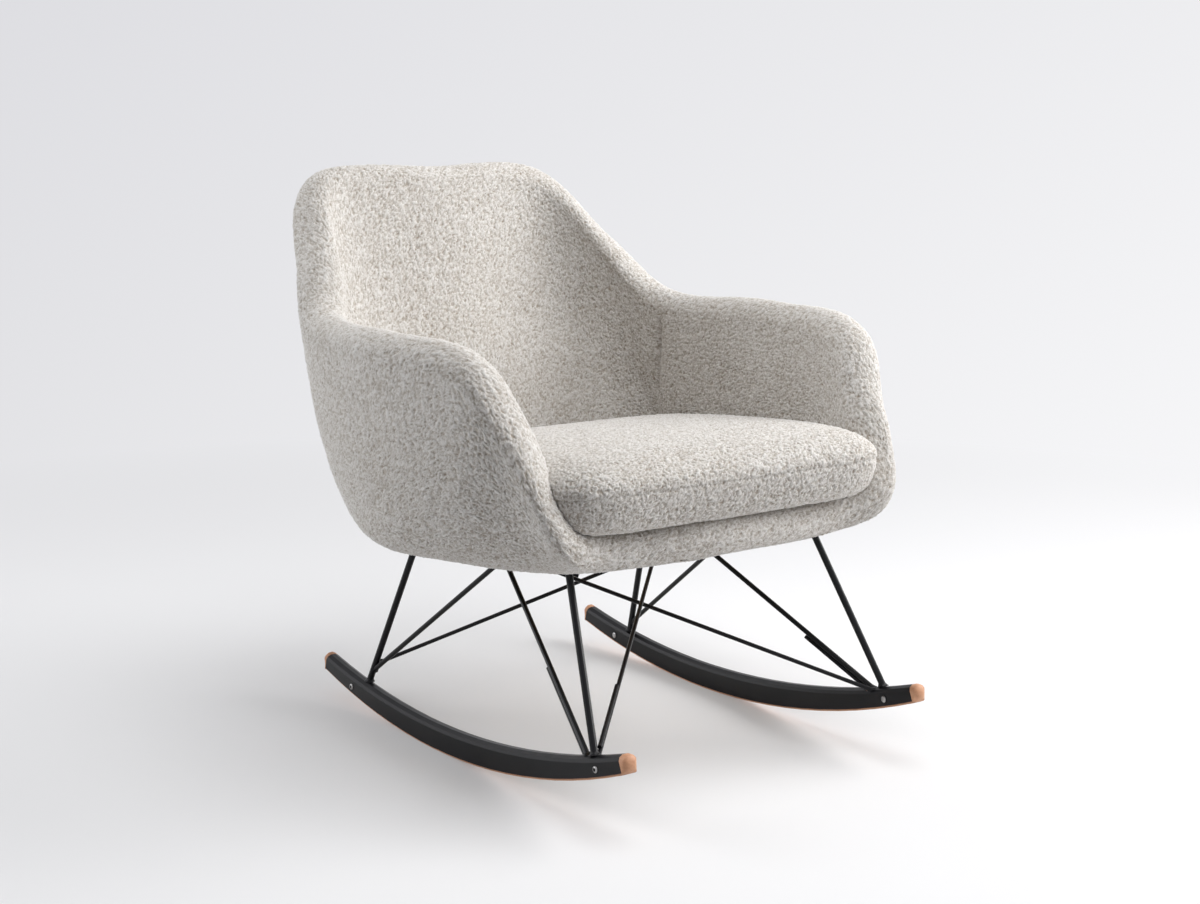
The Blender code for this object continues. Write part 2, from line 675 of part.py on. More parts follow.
def build_rocker(side, word):
    """Black channel, wooden runner with domed tips, and their sleeve bolts and nuts."""
    x = side * ROCKER_CENTRE_X
    inner = CHANNEL_WIDTH / 2 - CHANNEL_WALL
    top_rise = CHANNEL_ROUND_RISE - CHANNEL_WALL
    rings = []
    core = []
    for angle in rocker_angles():
        high = rocker_height(angle)
        hollow = arch(inner, RUNNER_SHOWS_BELOW, high - CHANNEL_WALL, top_rise)
        section = channel_outline(angle) + hollow[::-1]
        rings.append([rocker_point(x + u, angle, v) for u, v in section])
        section = arch(inner - GAP, 0.0, high - CHANNEL_WALL - GAP, top_rise)
        core.append([rocker_point(x + u, angle, v) for u, v in section])
    channel = loft("rocker_channel_" + word, rings, "black_steel")
    runner = loft("wooden_runner_" + word, tip_rings(x, -1)[::-1] + core + tip_rings(x, 1), "beech")

    face = CHANNEL_WIDTH / 2 + GAP
    head = SLEEVE_HEAD_RADIUS
    button = [(head, face), (head, face + SLEEVE_HEAD_HEIGHT * 0.6), (head * 0.75, face + SLEEVE_HEAD_HEIGHT)]
    bolt = [(SLEEVE_BOLT_RADIUS, face - SLEEVE_BOLT_LENGTH), (SLEEVE_BOLT_RADIUS, face)] + button
    bore = SLEEVE_BOLT_RADIUS + GAP
    mouth = 2 * GAP - CHANNEL_WIDTH / 2
    nut = [(bore, SLEEVE_BOLT_LENGTH - face + GAP), (bore, mouth), (SLEEVE_NUT_RADIUS, mouth),
           (SLEEVE_NUT_RADIUS, face)] + button
    hole = [(SLEEVE_NUT_RADIUS + GAP, -CHANNEL_WIDTH), (SLEEVE_NUT_RADIUS + GAP, CHANNEL_WIDTH)]
    for y, end in ((SLEEVE_BOLT_REAR_Y, "rear"), (SLEEVE_BOLT_FRONT_Y, "front")):
        outside = sleeve_frame(side, y, side)
        cutter = turned("rocker_drill_%s_%s" % (end, word), hole, "zinc", outside)
        drill(channel, cutter)
        drill(runner, cutter)
        turned("sleeve_bolt_%s_%s" % (end, word), bolt, "zinc", outside)
        turned("sleeve_nut_%s_%s" % (end, word), nut, "zinc", sleeve_frame(side, y, -side))


# Rods


def rod(name, radius, start, end, start_plane, end_plane):
    """Straight round rod, cut at both ends on the planes that it meets."""
    axis = (end - start).normalized()
    turn = axis.to_track_quat("Z", "Y").to_matrix().to_4x4()
    matrix = Matrix.Translation(start) @ turn
    back = matrix.inverted()
    rings = []
    for point, normal in (start_plane, end_plane):
        ring = []
        for i in range(ROD_SIDES):
            angle = 2 * math.pi * (i + 0.5) / ROD_SIDES
            edge = start + turn.to_3x3() @ Vector((radius * math.cos(angle), radius * math.sin(angle), 0))
            reach = (point - edge).dot(normal) / axis.dot(normal)
            ring.append(back @ (edge + axis * reach))
        rings.append(ring)
    return loft(name, rings, "black_steel", matrix)


def frame_plane(x, y):
    """Point and normal of the underside of the rails."""
    normal = Vector((0.0, math.sin(SEAT_PITCH), math.cos(SEAT_PITCH)))
    return on_seat(x, y, RAIL_BOTTOM - GAP), normal


def brace_radius(name):
    """Side braces are thicker than the long cross braces."""
    return SIDE_BRACE_RADIUS if "side_brace" in name else BRACE_RADIUS


def build_rods():
    """Legs, braces and the short rods welded along some of the braces."""
    rear_legs = {}
    for leg in LEGS:
        for side, word in ((-1, "right"), (1, "left")):
            foot = foot_plane(side * leg.foot[0], leg.foot[1], 0.006)
            top = frame_plane(side * leg.top[0], leg.top[1])
            rod(leg.name + "_" + word, LEG_RADIUS, foot[0], top[0], foot, top)
            if leg.name == "rear_leg":
                rear_legs[side] = (foot[0], top[0])
    lines = {}
    for brace in ROCKER_BRACES:
        foot = foot_plane(*brace.foot, 0.008)
        top = frame_plane(*brace.top)
        rod(brace.name, brace_radius(brace.name), foot[0], top[0], foot, top)
        lines[brace.name] = (foot, top)
    for name, side, height, top in LEG_BRACES:
        low, high = rear_legs[side]
        start = low.lerp(high, (height - low.z) / (high.z - low.z))
        top = frame_plane(*top)
        leg_axis = (high - low).normalized()
        away = (top[0] - start).normalized()
        normal = (away - leg_axis * away.dot(leg_axis)).normalized()
        side_plane = (start + normal * (LEG_RADIUS + GAP), normal)
        rod(name, brace_radius(name), start, top[0], side_plane, top)
    for name, host, first, last, way in DOUBLERS:
        foot, top = lines[host]
        axis = (top[0] - foot[0]).normalized()
        up = Vector((0, 0, 1))
        aside = (up - axis * up.dot(axis)).normalized() * way * (brace_radius(host) + BRACE_RADIUS + GAP)
        start = foot[0].lerp(top[0], first) + aside
        end = foot[0].lerp(top[0], last) + aside
        start_plane = foot if first == 0.0 else (start, axis)
        end_plane = top if last == 1.0 else (end, axis)
        rod(name, BRACE_RADIUS, start, end, start_plane, end_plane)


def centre_on_origin():
    """Hang everything from one root that brings the middle of the whole depth to Y = 0."""
    bpy.context.view_layer.update()
    solids = [obj for obj in bpy.data.objects if obj.type == "MESH" and not obj.hide_render]
    depths = [(obj.matrix_world @ v.co).y for obj in solids for v in obj.data.vertices]
    root = bpy.data.objects.new("chair_root", None)
    bpy.context.scene.collection.objects.link(root)
    for obj in list(bpy.data.objects):
        if obj.type == "MESH":
            obj.parent = root
    root.location.y = -(min(depths) + max(depths)) / 2


def build():
    """Build the whole chair."""
    clear_scene()
    walls = full_turn()
    grid = middle_grid(walls)
    build_outer_pad(walls, grid)
    build_board(grid)
    build_inner_pad(walls, grid)
    build_panel(walls)
    build_cushion()
    build_rails()
    build_frame_bolts()
    for side, word in ((-1, "right"), (1, "left")):
        build_rocker(side, word)
    build_rods()
    centre_on_origin()


build()
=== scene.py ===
"""Looks of the upholstered rocking chair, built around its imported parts.

Metres, +Z up. The chair faces -Y. The sitter's right is -X.
"""
import json
import math

import bmesh
import bpy
import numpy as np
from mathutils import Matrix, Vector
from mathutils.bvhtree import BVHTree


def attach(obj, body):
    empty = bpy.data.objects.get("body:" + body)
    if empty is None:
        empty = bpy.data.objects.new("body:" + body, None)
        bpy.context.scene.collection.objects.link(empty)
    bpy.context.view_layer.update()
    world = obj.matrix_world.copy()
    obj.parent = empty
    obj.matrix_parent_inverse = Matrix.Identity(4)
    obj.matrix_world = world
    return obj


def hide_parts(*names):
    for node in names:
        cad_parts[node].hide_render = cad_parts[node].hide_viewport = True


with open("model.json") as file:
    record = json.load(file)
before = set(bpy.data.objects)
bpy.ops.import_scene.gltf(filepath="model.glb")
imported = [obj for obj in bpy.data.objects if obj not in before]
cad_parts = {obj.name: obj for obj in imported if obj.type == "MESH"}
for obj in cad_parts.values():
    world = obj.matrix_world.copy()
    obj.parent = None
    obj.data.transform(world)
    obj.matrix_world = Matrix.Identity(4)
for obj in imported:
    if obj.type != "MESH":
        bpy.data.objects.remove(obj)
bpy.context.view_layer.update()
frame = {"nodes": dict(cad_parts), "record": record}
nodes = frame["nodes"]

# Camera, solved from the rockers, the rods and the seat's outline
CAMERA_PLACE = Vector((-1.4720, -2.0997, 0.8406))
CAMERA_TARGET = Vector((0.1773, 0.2073, 0.3278))
CAMERA_LENS = 57.22
CAMERA_RIGHT = Vector((0.8135, -0.5816, 0.0))
CAMERA_SIDE = Vector((-0.5816, -0.8135, 0.0))

# Even light of the sky: all round, and from the camera's side
SKY_LIGHT = 0.47
SKY_FRONT = 0.04

# Soft lamps: name, place, target, width, power and colour
LAMPS = (
    ("lamp_right", (2.35, -1.2, 1.6), (0, 0, 0.4), 2.0, 77, (1.0, 0.992, 0.982)),
    ("lamp_top", (0.2, -0.75, 3.0), (0, 0, 0.4), 2.0, 40, (1.0, 0.995, 0.99)),
    ("lamp_left", (-2.3, 1.9, 1.4), (0, 0, 0.35), 1.5, 34, (0.98, 0.99, 1.0)),
)

# Seat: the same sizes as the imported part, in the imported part's place
SEAT_SHIFT_Y = 0.02358
SEAT_PITCH = math.radians(3.0)
UNDERSIDE_HEIGHT = 0.2738
DECK_RISE = 0.0556
BOARD_RISE = 0.0246
PANEL_EDGE_FOAM = 0.005

# Rows and columns of the bucket's cover
COVER_COLUMNS = 1170
OUTER_ROWS = 246
RIM_ROWS = 54
INNER_ROWS = 228
DECK_ROWS = 64

# How much the corners between back and arms are rounded high up, and over what distance
BACK_EASE = 0.9
BACK_SPREAD = 0.055
BACK_EASE_HEIGHTS = (0.41, 0.57)

# How far those corners are drawn outwards lower down, which station they are at, and over how many
CORNER_PUSH = 0.012
CORNER_STATION = 6.7
CORNER_STATIONS = 0.55

# Depth from which the wall counts as back, and over what distance it becomes wholly so
BACK_FROM_Y = 0.06
BACK_BLEND = 0.14

# Inner face as shares of its height: how straight it leaves the roll, and how the deck's corner is filled
FACE_STRAIGHT = 0.36
CORNER_CLIMB = 0.16
CORNER_BULGE = 0.09

# Deck: the line in its middle that its rings shrink to, and how they crowd towards its edge
DECK_SPINE_Y = (-0.16, 0.04)
DECK_CROWDING = 1.3

# Unevenness of the foam: distance between hills, height, and salt of the noise
SLACK = ((0.11, 0.0016, 31), (0.045, 0.0006, 32))

# Tucked line between back and arm: its lower and upper end, depth and half width, the share and the
# relative width of the soft fold round it, and how steeply it fades at its upper end
TUCK_LOW = (0.243, 0.148, 0.335)
TUCK_HIGH = (0.2605, 0.146, 0.548)
TUCK_DEPTH = 0.0080
TUCK_WIDTH = 0.0050
FOLD_SHARE = 0.5
FOLD_WIDTH = 3
TUCK_FADE = 4

# Foam that always stays over the shell, how far out the shell is looked for, and where:
# from what height, and lower down on faces that look upwards at least this much
LEAST_FOAM = 0.0040
BOARD_SEARCH = 0.018
BOARD_LOW = 0.325
BOARD_UPWARD = 0.3

# Curly pile: sizes of curls and lumps, the curls' middle height, salts of the noise, and tones: the yarn's
# own pale tone and the painted shade of the pits between its loops
CURL_PITCH = 0.0033
CURL_HEIGHT = 0.0030
CURL_MIDDLE = 0.45
LUMP_PITCH = 0.019
LUMP_HEIGHT = 0.0004
BUCKET_SALT = 50
CUSHION_SALT = 90
PILE_LIGHT = (0.81, 0.79, 0.765, 1.0)
PILE_PIT_SHADE = (0.36, 0.30, 0.235, 1.0)

# One station of the rim, from the front round one side to the back: centre and width of the roll,
# underside corner, straight runs of belly and wall, lean in degrees, deck corner, and the way the
# wall faces in degrees from -Y to +X
STATIONS = (
    ((0.000, -0.325, 0.318), 0.052, (0.000, -0.301), 0.028, 0.000, 48.5, (0.000, -0.294), 0),
    ((0.174, -0.317, 0.318), 0.052, (0.152, -0.297), 0.020, 0.000, 47.0, (0.160, -0.291), 14),
    ((0.246, -0.333, 0.349), 0.056, (0.208, -0.283), 0.013, 0.014, 26.6, (0.220, -0.290), 45),
    ((0.272, -0.285, 0.445), 0.060, (0.235, -0.215), 0.068, 0.085, 13.4, (0.240, -0.214), 70),
    ((0.302, -0.220, 0.526), 0.060, (0.242, -0.130), 0.117, 0.154, 4.9, (0.244, -0.126), 82),
    ((0.318, -0.047, 0.537), 0.060, (0.243, -0.031), 0.132, 0.210, 6.7, (0.243, -0.020), 90),
    ((0.287, 0.161, 0.540), 0.060, (0.228, 0.066), 0.091, 0.164, 4.9, (0.240, 0.098), 104),
    ((0.247, 0.261, 0.617), 0.060, (0.180, 0.134), 0.092, 0.196, 9.5, (0.224, 0.157), 126),
    ((0.185, 0.370, 0.720), 0.055, (0.094, 0.166), 0.102, 0.218, 11.7, (0.112, 0.173), 155),
    ((0.000, 0.374, 0.726), 0.055, (0.000, 0.175), 0.106, 0.220, 15.1, (0.000, 0.172), 180),
)

# Half of the cushion's plan outline at its seam, its middle, and the seam's height over the deck
CUSHION_PLAN = (
    (0.000, -0.370), (0.120, -0.3695), (0.207, -0.365), (0.246, -0.345),
    (0.262, -0.300), (0.259, -0.235), (0.251, -0.140), (0.245, -0.030),
    (0.231, 0.075), (0.186, 0.140), (0.100, 0.158), (0.000, 0.160),
)
CUSHION_COLUMNS = 240
CUSHION_CENTRE_Y = -0.090
CUSHION_GAP = 0.0006
CUSHION_SEAM_RISE = 0.044

# Below the seam: how far the outline is drawn in, and the height
CUSHION_SIDE = (
    (0.97, 0.0), (0.80, 0.0), (0.60, 0.0), (0.45, 0.0), (0.32, 0.0), (0.22, 0.0), (0.14, 0.0),
    (0.075, 0.001), (0.048, 0.004), (0.030, 0.009), (0.018, 0.016), (0.009, 0.025), (0.003, 0.035),
)

# Above the seam: height of the crown at each depth, how boxy it is in plan and in height, and its rings
CUSHION_CROWN = (
    (-0.37, 0.040), (-0.30, 0.042), (-0.20, 0.043), (-0.10, 0.041),
    (0.0, 0.035), (0.08, 0.025), (0.16, 0.015),
)
CUSHION_PLAN_BOX = 6.5
CUSHION_SHOULDER = 2.3
CROWN_DEGREES = (0, 6, 12, 18, 25, 32, 40, 48, 56, 64, 72, 79, 85, 89.5)

# Front's lower edge: how far it hangs over the lip, where that starts and is complete, and up to what height
CUSHION_DROOP = 0.0075
DROOP_START_Y = -0.300
DROOP_LENGTH = 0.06
DROOP_HEIGHT = 0.030

# Filling of the cushion: size of its faces, air pressure, how stiff the cover is to stretching and
# bending, the most it may swell, frames of simulation and steps in each
CUSHION_FACE = 0.007
FILL_PRESSURE = 3.0
COVER_STRETCH = 30
COVER_BEND = 1.0
FILL_MOST = 0.003
FILL_FRAMES = 20
FILL_STEPS = 5

# Seam round the cushion: half width and depth of its groove
SEAM_WIDTH = 0.0018
SEAM_DEPTH = 0.0013

# Room between bucket and cushion: where the cushion dents the rim, and where the bucket holds the cushion
RIM_CLEARANCE = 0.0016
CUSHION_CLEARANCE = 0.0012
CONTACT_SEARCH = 0.06

# Bucket's front corners: at least this far out, further forward than this, and at least this high
FRONT_CORNERS = (0.17, -0.20, 0.31)

# Domes on the beech runners: where each starts and the way it points, length, rings and roundness
RUNNER_ENDS = (((0, -0.4206, 0.099), (0, -1.0, 0.12)), ((0, 0.3088, 0.048), (0, 1.0, 0.10)))
DOME_LENGTH = 0.0068
DOME_STEPS = (0.18, 0.36, 0.54, 0.70, 0.83, 0.93, 0.985)
DOME_ROUNDNESS = 0.9

# Sleeve bolts: places, radius of head and shank, reach of the shank, and the channels' outer sides
BOLT_PLACES = ("front_right", "rear_right", "front_left", "rear_left")
BOLT_HEAD = 0.0042
BOLT_SHANK = 0.0025
BOLT_REACH = 0.0125
CHANNEL_SIDE = 0.2416

# Button of the bolt's head, as steps up and sizes of the next ring, and its socket, whose bottom within a
# reach and below a height is painted dark as shade
BUTTON_STEPS = ((0.0008, 1.0), (0.0005, 0.94), (0.0004, 0.86), (0.0002, 0.88))
SOCKET_LIP = 0.0008
SOCKET_DEPTH = 0.0013
SOCKET_TAPER = 0.92
SOCKET_REACH = 0.52
SOCKET_SHADE_BELOW = 0.0010

# Welds: foot and profile of a collar in units of the rod, ripple, height, and reach of a rod's slanting cut
WELD_FOOT = 1.55
WELD_STEPS = ((0.10, 1.0), (0.14, 0.92), (0.20, 0.87), (0.26, 0.90), (0.30, 0.93))
WELD_RIPPLE = 0.05
WELD_HEIGHT = 0.0042
ROD_CUT_DEPTH = 0.0050

# Widest bend that is still shaded smooth, in degrees
RUNNER_SMOOTH = 40
BOLT_SMOOTH = 35
WELD_SMOOTH = 50

# Backdrop: tones at its left and right side, low and high, painted darker to the left and upwards as the
# light falls off, and the span of view that they cover
BACKDROP_LOW = ((0.78, 0.78, 0.80, 1.0), (0.93, 0.93, 0.945, 1.0))
BACKDROP_HIGH = ((0.73, 0.73, 0.76, 1.0), (0.85, 0.85, 0.87, 1.0))
BACKDROP_SIDE = (-0.30, 0.30)
BACKDROP_UP = (-0.20, 0.06)

# Floor: its tone as seen, its tones for bounced light, painted brighter behind the chair and darker before
# it, and how it fades into a glow of the backdrop's painted tone, some of which stays near the chair and
# pales the shadows there
FLOOR_RADIUS = 40.0
FLOOR_SEEN = (0.84, 0.84, 0.85, 1.0)
FLOOR_BEHIND = (0.97, 0.97, 0.97, 1.0)
FLOOR_BEFORE = (0.62, 0.62, 0.63, 1.0)
FLOOR_SPAN = (-0.1, 0.9)
FLOOR_FADE = (0.5, 2.4)
FLOOR_GLOW_NEAR = 0.22
SKY_TONE = (0.97, 0.98, 1.0, 1.0)
SKY_SPAN = (-0.2, 0.8)


# Soft noise for the pile and the unevenness of the foam


def lattice(cells, salt):
    """A repeatable gradient for each cell corner."""
    x = cells[:, 0].astype(np.uint32) * np.uint32(374761393)
    y = cells[:, 1].astype(np.uint32) * np.uint32(668265263)
    z = cells[:, 2].astype(np.uint32) * np.uint32(2147483647)
    h = x ^ y ^ z ^ np.uint32(salt * 974711 & 0xFFFFFFFF)
    h = (h ^ (h >> np.uint32(13))) * np.uint32(1274126177)
    h = h ^ (h >> np.uint32(16))
    first = (h & np.uint32(0xFFFF)).astype(np.float64) / 65535 * 2 * math.pi
    second = (h >> np.uint32(16)).astype(np.float64) / 65535 * 2 - 1
    ring = np.sqrt(1 - second * second)
    return np.stack([ring * np.cos(first), ring * np.sin(first), second], axis=1)


def soft_noise(points, pitch, salt):
    """Smooth noise from about -1 to 1 whose hills are a pitch apart."""
    place = points / pitch + 1000.0
    cell = np.floor(place).astype(np.int64)
    share = place - cell
    ease = share * share * share * (share * (share * 6 - 15) + 10)
    total = np.zeros(len(points))
    for corner in range(8):
        step = np.array([corner & 1, corner >> 1 & 1, corner >> 2 & 1])
        weight = np.prod(np.where(step, ease, 1 - ease), axis=1)
        total += weight * np.sum(lattice(cell + step, salt) * (share - step), axis=1)
    return total * 1.5


def curls(points, salt):
    """Height of the curly pile from 0 in the pits to 1 on the loops."""
    bend = np.stack([soft_noise(points, CURL_PITCH * 1.6, salt + k) for k in (1, 2, 3)], axis=1)
    bent = points + bend * CURL_PITCH * 0.8
    loops = 1 - np.minimum(np.abs(soft_noise(bent, CURL_PITCH * 1.25, salt + 4)) * 2.2, 1.0)
    knots = 0.5 + 0.62 * soft_noise(bent, CURL_PITCH * 0.8, salt + 5)
    return np.clip(0.48 * loops + 0.62 * knots - 0.02, 0, 1)


# Meshes


def select_only(piece):
    """Make one piece the only selected and the active one."""
    bpy.ops.object.select_all(action="DESELECT")
    piece.select_set(True)
    bpy.context.view_layer.objects.active = piece


def place_piece(name, mesh):
    """A new piece that shows a mesh, alone selected."""
    piece = bpy.data.objects.new(name, mesh)
    bpy.context.scene.collection.objects.link(piece)
    select_only(piece)
    return piece


def place_mesh(name, points, faces):
    """A new piece from its points and faces."""
    mesh = bpy.data.meshes.new(name)
    mesh.from_pydata(points, [], faces)
    mesh.validate()
    return place_piece(name, mesh)


def mesh_points(piece):
    """The piece's vertices as an array."""
    points = np.empty(len(piece.data.vertices) * 3, np.float32)
    piece.data.vertices.foreach_get("co", points)
    return points.reshape(-1, 3).astype(np.float64)


def mesh_normals(piece):
    """The piece's vertex normals as an array."""
    normals = np.empty(len(piece.data.vertices) * 3, np.float32)
    piece.data.vertex_normals.foreach_get("vector", normals)
    return normals.reshape(-1, 3).astype(np.float64)


def move_points(piece, points):
    """Put the piece's vertices at new places."""
    piece.data.vertices.foreach_set("co", points.astype(np.float32).ravel())
    piece.data.update()


def face_outwards(piece):
    """Turn every face of a closed piece outwards."""
    shape = bmesh.new()
    shape.from_mesh(piece.data)
    bmesh.ops.recalc_face_normals(shape, faces=shape.faces)
    shape.to_mesh(piece.data)
    shape.free()


def raise_pile(piece, salt):
    """Raise the curly pile on a padded piece, and keep its height for the material, which paints shade into
    the low pits.
    """
    points = mesh_points(piece)
    normals = mesh_normals(piece)
    loops = curls(points, salt)
    lumps = soft_noise(points, LUMP_PITCH, salt + 9)
    lift = (loops - CURL_MIDDLE) * CURL_HEIGHT + lumps * LUMP_HEIGHT
    move_points(piece, points + normals * lift[:, None])
    pile = piece.data.attributes.new("pile", "FLOAT", "POINT")
    pile.data.foreach_set("value", loops.astype(np.float32))
    piece.data.shade_smooth()


# Bucket


def on_seat(y, rise):
    """Height of a layer of the seat at depth y."""
    return UNDERSIDE_HEIGHT - math.tan(SEAT_PITCH) * y + rise


def smooth_mix(keys, u):
    """Smooth values at each u along keys that have one extra before and one after."""
    i = np.minimum(u.astype(int), len(keys) - 4)
    f = (u - i)[:, None]
    p, q, r, s = keys[i], keys[i + 1], keys[i + 2], keys[i + 3]
    return 0.5 * (2 * q + (r - p) * f + (2 * p - 5 * q + 4 * r - s) * f ** 2
                  + (3 * q - p - 3 * r + s) * f ** 3)


def mirrored_keys(rows, odd):
    """Keys with the mirror image of their neighbours before and after them."""
    keys = np.array(rows, float)
    sign = np.where(np.arange(keys.shape[1]) < odd, -1.0, 1.0)
    return np.vstack([keys[1] * sign, keys, keys[-2] * sign])


class BucketWalls:
    """The bucket's walls at even steps round the rim."""

    def __init__(self, count):
        rows = [(s[0][0], s[2][0], s[6][0], s[0][1], s[0][2], s[1], s[2][1], s[3], s[4], s[5], s[6][1])
                for s in STATIONS]
        keys = mirrored_keys(rows, 3)
        turns = [-STATIONS[1][7]] + [s[7] for s in STATIONS] + [360 - STATIONS[-2][7]]
        last = len(STATIONS) - 1
        fine = np.linspace(0, last, 2000)
        line = smooth_mix(keys, fine)[:, [0, 3, 4]]
        walked = np.concatenate([[0], np.cumsum(np.linalg.norm(np.diff(line, axis=0), axis=1))])
        half = count // 2
        u = np.interp(np.linspace(0, walked[-1], half + 1), walked, fine)
        values = smooth_mix(keys, u)
        turn = smooth_mix(np.array(turns, float)[:, None], u)[:, 0]
        values = np.vstack([values, values[-2:0:-1]])
        stations = np.concatenate([u, 2 * last - u[-2:0:-1]])
        turn = np.radians(np.concatenate([turn, 360 - turn[-2:0:-1]]))
        side = np.ones(len(values))
        side[half + 1:] = -1
        lean = np.radians(values[:, 9])
        self.outward = np.stack([np.sin(turn), -np.cos(turn), np.zeros_like(turn)], axis=1)
        up = np.array([0.0, 0.0, 1.0])
        self.along = up * np.cos(lean)[:, None] + self.outward * np.sin(lean)[:, None]
        self.across = self.outward * np.cos(lean)[:, None] - up * np.sin(lean)[:, None]
        self.centre = np.stack([values[:, 0] * side, values[:, 3], values[:, 4]], axis=1)
        self.roll = values[:, 5:6]
        foot_y, deck_y = values[:, 6], values[:, 10]
        self.foot = np.stack([values[:, 1] * side, foot_y, on_seat(foot_y, 0.0)], axis=1)
        self.deck = np.stack([values[:, 2] * side, deck_y, on_seat(deck_y, DECK_RISE)], axis=1)
        self.backness = np.clip((self.centre[:, 1:2] - BACK_FROM_Y) / BACK_BLEND, 0, 1)
        from_corner = np.minimum(stations, 2 * last - stations) - CORNER_STATION
        self.corner = np.exp(-(from_corner / CORNER_STATIONS) ** 2)
        self.belly = values[:, 7:8]
        self.wall = values[:, 8:9]

    def curve(self, a, b, c, d, t):
        """Points on cubic curves from a to d that b and c shape."""
        s = 1 - t
        return a * s ** 3 + b * (3 * s * s * t) + c * (3 * s * t * t) + d * t ** 3

    def outer(self, t):
        """Outside of the cover, from the underside's corner to the roll."""
        top = self.centre + self.across * (self.roll / 2)
        return self.curve(self.foot, self.foot + self.outward * self.belly,
                          top - self.along * self.wall, top, t)

    def rim(self, degrees):
        """The roll: 0 is its outer side, 90 its top and 180 its inner side."""
        angle = math.radians(degrees)
        half = self.roll / 2
        return self.centre + self.across * (half * math.cos(angle)) + self.along * (half * math.sin(angle))

    def inner(self, t):
        """Inside of the cover, from the roll down to the deck's corner."""
        top = self.centre - self.across * (self.roll / 2)
        fall = np.linalg.norm(top - self.deck, axis=1)[:, None]
        climb = np.maximum(top[:, 2:3] - self.deck[:, 2:3], 0.0)
        low = self.deck + np.array([0, 0, 1.0]) * (climb * CORNER_CLIMB)
        low = low + self.outward * (climb * CORNER_BULGE)
        return self.curve(top, top - self.along * (fall * FACE_STRAIGHT), low, self.deck, t)

    def eased(self, ring, amount):
        """The ring with its corners behind the arms rounded, where it is high up."""
        if amount == 0:
            return ring
        low, high = BACK_EASE_HEIGHTS
        share = np.clip((ring[:, 2:3] - low) / (high - low), 0, 1) * self.backness
        return ring + (even_out(ring, BACK_SPREAD) - ring) * (share * amount * BACK_EASE)

    def below(self, inset, rise):
        """The underside's corner moved inwards, at a height above the underside."""
        place = self.foot - self.outward * inset
        return np.stack([place[:, 0], place[:, 1], on_seat(place[:, 1], rise)], axis=1)


def even_out(ring, spread):
    """The ring's points averaged with their neighbours over a distance along it."""
    steps = np.linalg.norm(np.roll(ring, -1, axis=0) - ring, axis=1)
    reach = int(round(2.5 * spread / steps.mean()))
    offsets = np.arange(-reach, reach + 1)
    weights = np.exp(-0.5 * (offsets * steps.mean() / spread) ** 2)
    total = sum(w * np.roll(ring, k, axis=0) for k, w in zip(offsets, weights))
    return total / weights.sum()


def roll_rounding(degrees):
    """How much the corners of the roll are rounded, from its top to its inner side."""
    return 0.5 * max(0.0, (degrees - 100) / 80) ** 1.5


def face_rounding(t):
    """How much the corners of the inner face are rounded, fading out towards the deck."""
    return (0.5 + 0.5 * min(1.0, 6 * t)) * (1 - t)


def cover_rows(columns, outer, rim, inner, deck):
    """Rings of points from under the seat, up the outside, over the roll and down to the deck."""
    walls = BucketWalls(columns)
    rings = [walls.below(PANEL_EDGE_FOAM, BOARD_RISE), walls.below(PANEL_EDGE_FOAM, 0.0)]
    rings += [walls.outer(i / outer) for i in range(outer + 1)]
    for i in range(1, rim):
        degrees = 180 * i / rim
        rings.append(walls.eased(walls.rim(degrees), roll_rounding(degrees)))
    for i in range(inner + 1):
        t = i / inner
        push = walls.outward * walls.corner[:, None] * (CORNER_PUSH * math.sqrt(math.sin(math.pi * t)))
        rings.append(walls.eased(walls.inner(t) + push, face_rounding(t)))
    spine = np.stack([np.zeros(columns), np.clip(walls.deck[:, 1], *DECK_SPINE_Y)], axis=1)
    for i in range(1, deck):
        share = 1 - (1 - i / deck) ** DECK_CROWDING
        flat = walls.deck[:, :2] + (spine - walls.deck[:, :2]) * share
        rings.append(np.stack([flat[:, 0], flat[:, 1], on_seat(flat[:, 1], DECK_RISE)], axis=1))
    for ring in rings:
        ring[:, 1] += SEAT_SHIFT_Y
    return rings


def closed_rings(name, rings):
    """Skin rings into one closed piece, with a fan at both ends."""
    size = len(rings[0])
    count = len(rings)
    points = np.vstack(rings)
    ends = np.array([rings[0].mean(axis=0), rings[-1].mean(axis=0)])
    here = np.arange(size)
    there = (here + 1) % size
    quads = []
    for i in range(count - 1):
        a, b = i * size, (i + 1) * size
        quads.append(np.stack([a + here, a + there, b + there, b + here], axis=1))
    first, last = size * count, size * count + 1
    fans = [(first, int(j), int(i)) for i, j in zip(here, there)]
    top = (count - 1) * size
    fans += [(last, int(top + i), int(top + j)) for i, j in zip(here, there)]
    faces = np.vstack(quads).tolist() + fans
    return place_mesh(name, np.vstack([points, ends]).tolist(), faces)


def unroll(piece, size, count):
    """UV map of a piece made of rings: round the rings by the rows, in one rectangle."""
    uv = piece.data.uv_layers.new(name="OFBake")
    corners = np.empty(len(piece.data.loops), np.int64)
    piece.data.loops.foreach_get("vertex_index", corners)
    starts = np.empty(len(piece.data.polygons), np.int64)
    piece.data.polygons.foreach_get("loop_start", starts)
    totals = np.empty(len(piece.data.polygons), np.int64)
    piece.data.polygons.foreach_get("loop_total", totals)
    column = (corners % size).astype(float)
    row = (corners // size).astype(float)
    column[corners >= size * count] = 0
    row[corners == size * count] = -1
    row[corners == size * count + 1] = count
    owner = np.repeat(np.arange(len(starts)), totals)
    widest = np.zeros(len(starts))
    np.maximum.at(widest, owner, column)
    column[(widest[owner] > size / 2) & (column < size / 2)] += size
    flat = np.stack([column / size, (row + 1) / (count + 1)], axis=1) * 0.996 + 0.002
    uv.data.foreach_set("uv", flat.astype(np.float32).ravel())


